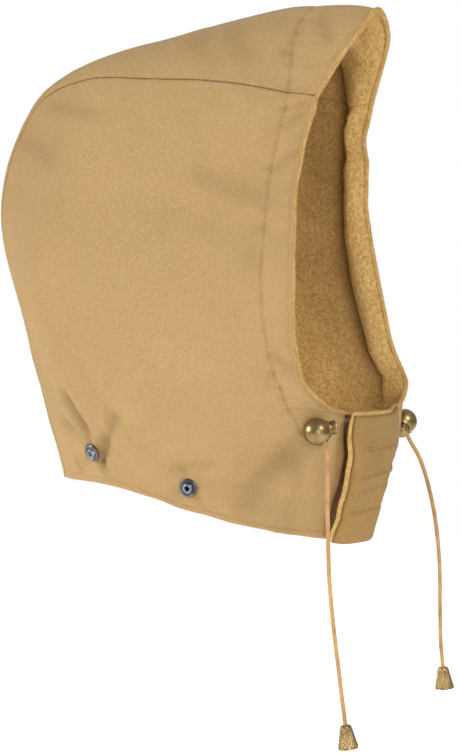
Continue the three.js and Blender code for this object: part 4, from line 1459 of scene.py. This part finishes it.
def carved(piece, cutters):
    """The piece with holes cut in it, as a plain mesh."""
    for cutter in cutters:
        cut = piece.modifiers.new("hole", "BOOLEAN")
        cut.object = cutter
        cut.operation = "DIFFERENCE"
        cut.solver = "EXACT"
    evaluated = piece.evaluated_get(bpy.context.evaluated_depsgraph_get())
    mesh = bpy.data.meshes.new_from_object(evaluated)
    piece.modifiers.clear()
    piece.data = mesh
    for cutter in cutters:
        bpy.data.objects.remove(cutter)
    return piece


def build_lock(name):
    centre, axis = lock_place(name)
    steps = np.linspace(-math.pi / 2, math.pi / 2, 49)
    profile = [(BALL_RADIUS * max(math.cos(step), 0), BALL_RADIUS * math.sin(step)) for step in steps]
    ball = lathe(f"lock_ball_{name}", profile, centre, axis, 96)
    ways = [hole_direction(name, UPPER_HOLE), hole_direction(name, LOWER_HOLES[name])]
    bore = [(0, -4 * MM), (BORE_RADIUS, -4 * MM), (BORE_RADIUS, 2 * BALL_RADIUS), (0, 2 * BALL_RADIUS)]
    cutters = [lathe("bore", bore, centre, axis, 48)]
    hole = [(0, 0), (CORD_HOLE_RADIUS, 0), (CORD_HOLE_RADIUS, 2 * BALL_RADIUS), (0, 2 * BALL_RADIUS)]
    cutters += [lathe("hole", hole, centre, way, 32) for way in ways]
    ball = carved(ball, cutters)
    bore_mouth = math.sqrt(BALL_RADIUS**2 - BORE_RADIUS**2)
    hole_mouth = math.sqrt(BALL_RADIUS**2 - CORD_HOLE_RADIUS**2)
    wide = {"bore": BORE_RADIUS + RIM_OUT["bore"], "hole": CORD_HOLE_RADIUS + RIM_OUT["hole"]}
    rims = [ring("rim", centre, axis, bore_mouth - BORE_RIM_IN, wide["bore"], RIM_TUBE["bore"])]
    rims += [ring("rim", centre, way, hole_mouth, wide["hole"], RIM_TUBE["hole"]) for way in ways]
    shape = joined(f"lock_ball_{name}", [ball, *rims])
    finish_piece(shape, "brass", replaces=[f"cord_lock_ball_{name}"])
    smooth_by_angle(shape)
    plunger = lathe(f"lock_plunger_{name}", PLUNGER_PROFILE, centre, axis, 72)
    finish_piece(plunger, "brass", f"plunger_{name}", replaces=[f"cord_lock_plunger_{name}"])
    smooth_by_angle(plunger)


def smooth_by_angle(piece, limit=math.radians(38)):
    piece.data.set_sharp_from_angle(angle=limit)


def build_cone(name):
    """The knurled metal end, hollow at its mouth, with a socket for the cord."""
    points = cord_points(name)
    away = (points[-1] - points[-2]).normalized()
    top = points[-1] + away * (0.3 * MM - CONE_SOCKET)
    sides, levels = 132, 60
    profile = [(2 * MM, CONE_SOCKET), (2 * MM, 0), (2.3 * MM, -0.25 * MM), (2.9 * MM, -0.3 * MM)]
    for share in np.linspace(0, 1, levels):
        flare = 0.86 * share + 0.14 * share**3
        radius = CONE_TOP_RADIUS + (CONE_BOTTOM_RADIUS - CONE_TOP_RADIUS) * flare
        profile.append((radius, share * (CONE_LENGTH - 0.4 * MM)))
    inner = CONE_BOTTOM_RADIUS
    profile += [(inner - 0.5 * MM, CONE_LENGTH), (inner - 1 * MM, CONE_LENGTH)]
    profile += [(inner - 1.4 * MM, CONE_LENGTH - 0.6 * MM)]
    profile += [(inner - 1.9 * MM, CONE_LENGTH - CONE_MOUTH_DEEP), (0, CONE_LENGTH - CONE_MOUTH_DEEP)]
    cone = lathe(f"cord_end_piece_{name}", [(0, CONE_SOCKET), *profile], top, away, sides)
    place = np.array([vertex.co for vertex in cone.data.vertices])
    axis = np.array(away)
    height = (place - np.array(top)) @ axis
    spoke = place - np.array(top) - height[:, None] * axis
    radius = np.linalg.norm(spoke, axis=1)
    across = unit(np.cross(axis, (0, 0, 1)) + np.array([1e-6, 0, 0]))
    turn = np.arctan2(spoke @ np.cross(axis, across), spoke @ across)
    flare = (CONE_BOTTOM_RADIUS - CONE_TOP_RADIUS) * height / CONE_LENGTH
    outside = radius > CONE_TOP_RADIUS * 0.98 + flare * 0.8
    band = smooth_step(height, *KNURL_TOP) * smooth_step(height, *KNURL_BOTTOM)
    lean = KNURL_LEAN * height / CONE_LENGTH * 2 * math.pi
    knurl = np.abs(np.sin(KNURL_ROWS * turn + lean) * np.sin(KNURL_ROWS * turn - lean))
    spoke_out = spoke / np.maximum(radius, 1e-9)[:, None]
    place = place + spoke_out * (KNURL_DEEP * knurl * band * outside)[:, None]
    cone.data.vertices.foreach_set("co", place.ravel())
    cone.data.update()
    smooth_by_angle(cone)
    return finish_piece(cone, "brass", replaces=[f"cord_end_{name}"])


def build_stub(name):
    """The cord between the channel and its lock."""
    points = node_points(f"drawcord_stub_{name}")
    middle = points.mean(axis=0)
    way = hole_direction(name, UPPER_HOLE)
    reach = (points - middle) @ np.array(way)
    low, high = reach.min() - STUB_PAST["low"], reach.max() + STUB_PAST["high"]
    radius = CORD_DIAMETER / 2
    profile = [(0, low), (radius, low), (radius, high), (0, high)]
    stub = lathe(f"cord_stub_{name}", profile, Vector(middle), way, 24)
    smooth_by_angle(stub)
    return finish_piece(stub, "cord", replaces=[f"drawcord_stub_{name}"])


def build_stud(name):
    """A snap stud: its dish, the post in it and a near-black disc down in the post's hole, painted shade for
    the hole.
    """
    node = f"snap_stud_{name}"
    back, axis = stud_place(node)
    for part, profile, finish, sides in (
        ("stud", STUD_PROFILE, "gunmetal", 72),
        ("stud_post", STUD_POST_PROFILE, "steel", 72),
        ("stud_shade_disc", STUD_SHADE_DISC_PROFILE, "shade", 48),
    ):
        turned = lathe(f"{part}_{name}", profile, back, axis, sides)
        finish_piece(turned, finish, replaces=[node])


for name in SIDES:
    build_lock(name)
    build_stub(name)
    build_cone(name)
    for snap in SNAPS:
        build_stud(f"{name}_{snap['name']}")
for node in ("closure_tape_upper", "closure_tape_lower"):
    carried = frame["nodes"][node]
    carried.data.materials.clear()
    carried.data.materials.append(finishes["tape"])

for name, cord in cords.items():
    finish_piece(cord, "cord", replaces=[f"drawcord_{name}"])


# Floor and light
FLOOR_RADIUS = 0.95
FLOOR_BELOW = 0.012
FLOOR_GLOW = 0.5
SKY_RANGE = {"From Min": -0.35, "From Max": 0.6, "To Min": 0.18, "To Max": 0.48}
LIGHTS = (
    {"name": "key", "azimuth": -24, "elevation": 30, "distance": 1.5, "size": 0.3, "power": 8.8},
    {"name": "fill", "azimuth": -140, "elevation": 16, "distance": 1.7, "size": 0.6, "power": 17},
    {"name": "front", "azimuth": -52, "elevation": 2, "distance": 1.9, "size": 0.5, "power": 8.5},
    {"name": "rim", "azimuth": 120, "elevation": 35, "distance": 1.8, "size": 0.8, "power": 3},
)


def make_stage():
    mesh = bpy.data.meshes.new("floor")
    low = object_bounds()[0].z - FLOOR_BELOW
    turns = np.linspace(0, 2 * math.pi, 96, endpoint=False)
    rim = [(math.cos(turn), math.sin(turn)) for turn in turns]
    corners = [(FLOOR_RADIUS * x, FLOOR_RADIUS * y, low) for x, y in rim]
    mesh.from_pydata(corners, [], [tuple(range(len(corners)))])
    floor = link("floor", mesh)
    finish = Finish("floor", Roughness=0.9)
    finish.colour(finish.blend(finish.noise("floor"), srgb(252, 252, 252), srgb(254, 254, 253)))
    finish.shader.inputs["Emission Color"].default_value = (1, 1, 1, 1)
    finish.shader.inputs["Emission Strength"].default_value = FLOOR_GLOW
    mesh.materials.append(finish.material)

    world = bpy.data.worlds.new("studio")
    bpy.context.scene.world = world
    world.use_nodes = True
    nodes, links = world.node_tree.nodes, world.node_tree.links
    surface = nodes["Background"]
    direction = nodes.new("ShaderNodeTexCoord")
    height = nodes.new("ShaderNodeSeparateXYZ")
    links.new(direction.outputs["Generated"], height.inputs["Vector"])
    sky = nodes.new("ShaderNodeMapRange")
    for socket, value in SKY_RANGE.items():
        sky.inputs[socket].default_value = value
    links.new(height.outputs["Z"], sky.inputs["Value"])
    surface.inputs["Color"].default_value = (1, 1, 1, 1)
    links.new(sky.outputs["Result"], surface.inputs["Strength"])
    backdrop = nodes.new("ShaderNodeBackground")
    backdrop.inputs["Color"].default_value = (1, 1, 1, 1)
    backdrop.inputs["Strength"].default_value = 1.0
    path = nodes.new("ShaderNodeLightPath")
    pick = nodes.new("ShaderNodeMixShader")
    links.new(path.outputs["Is Camera Ray"], pick.inputs["Fac"])
    links.new(surface.outputs["Background"], pick.inputs[1])
    links.new(backdrop.outputs["Background"], pick.inputs[2])
    links.new(pick.outputs["Shader"], nodes["World Output"].inputs["Surface"])


def soft_light(name, azimuth, elevation, distance, size, power):
    data = bpy.data.lights.new(name, "AREA")
    data.shape = "DISK"
    data.size = size
    data.energy = power
    lamp = bpy.data.objects.new(name, data)
    bpy.context.collection.objects.link(lamp)
    a, e = math.radians(azimuth), math.radians(elevation)
    back = Vector((math.sin(a) * math.cos(e), -math.cos(a) * math.cos(e), math.sin(e)))
    lamp.location = VIEW_TARGET + distance * back
    lamp.rotation_euler = back.to_track_quat("Z", "Y").to_euler()


make_stage()
for light in LIGHTS:
    soft_light(**light)

bpy.context.scene.view_settings.view_transform = "Standard"
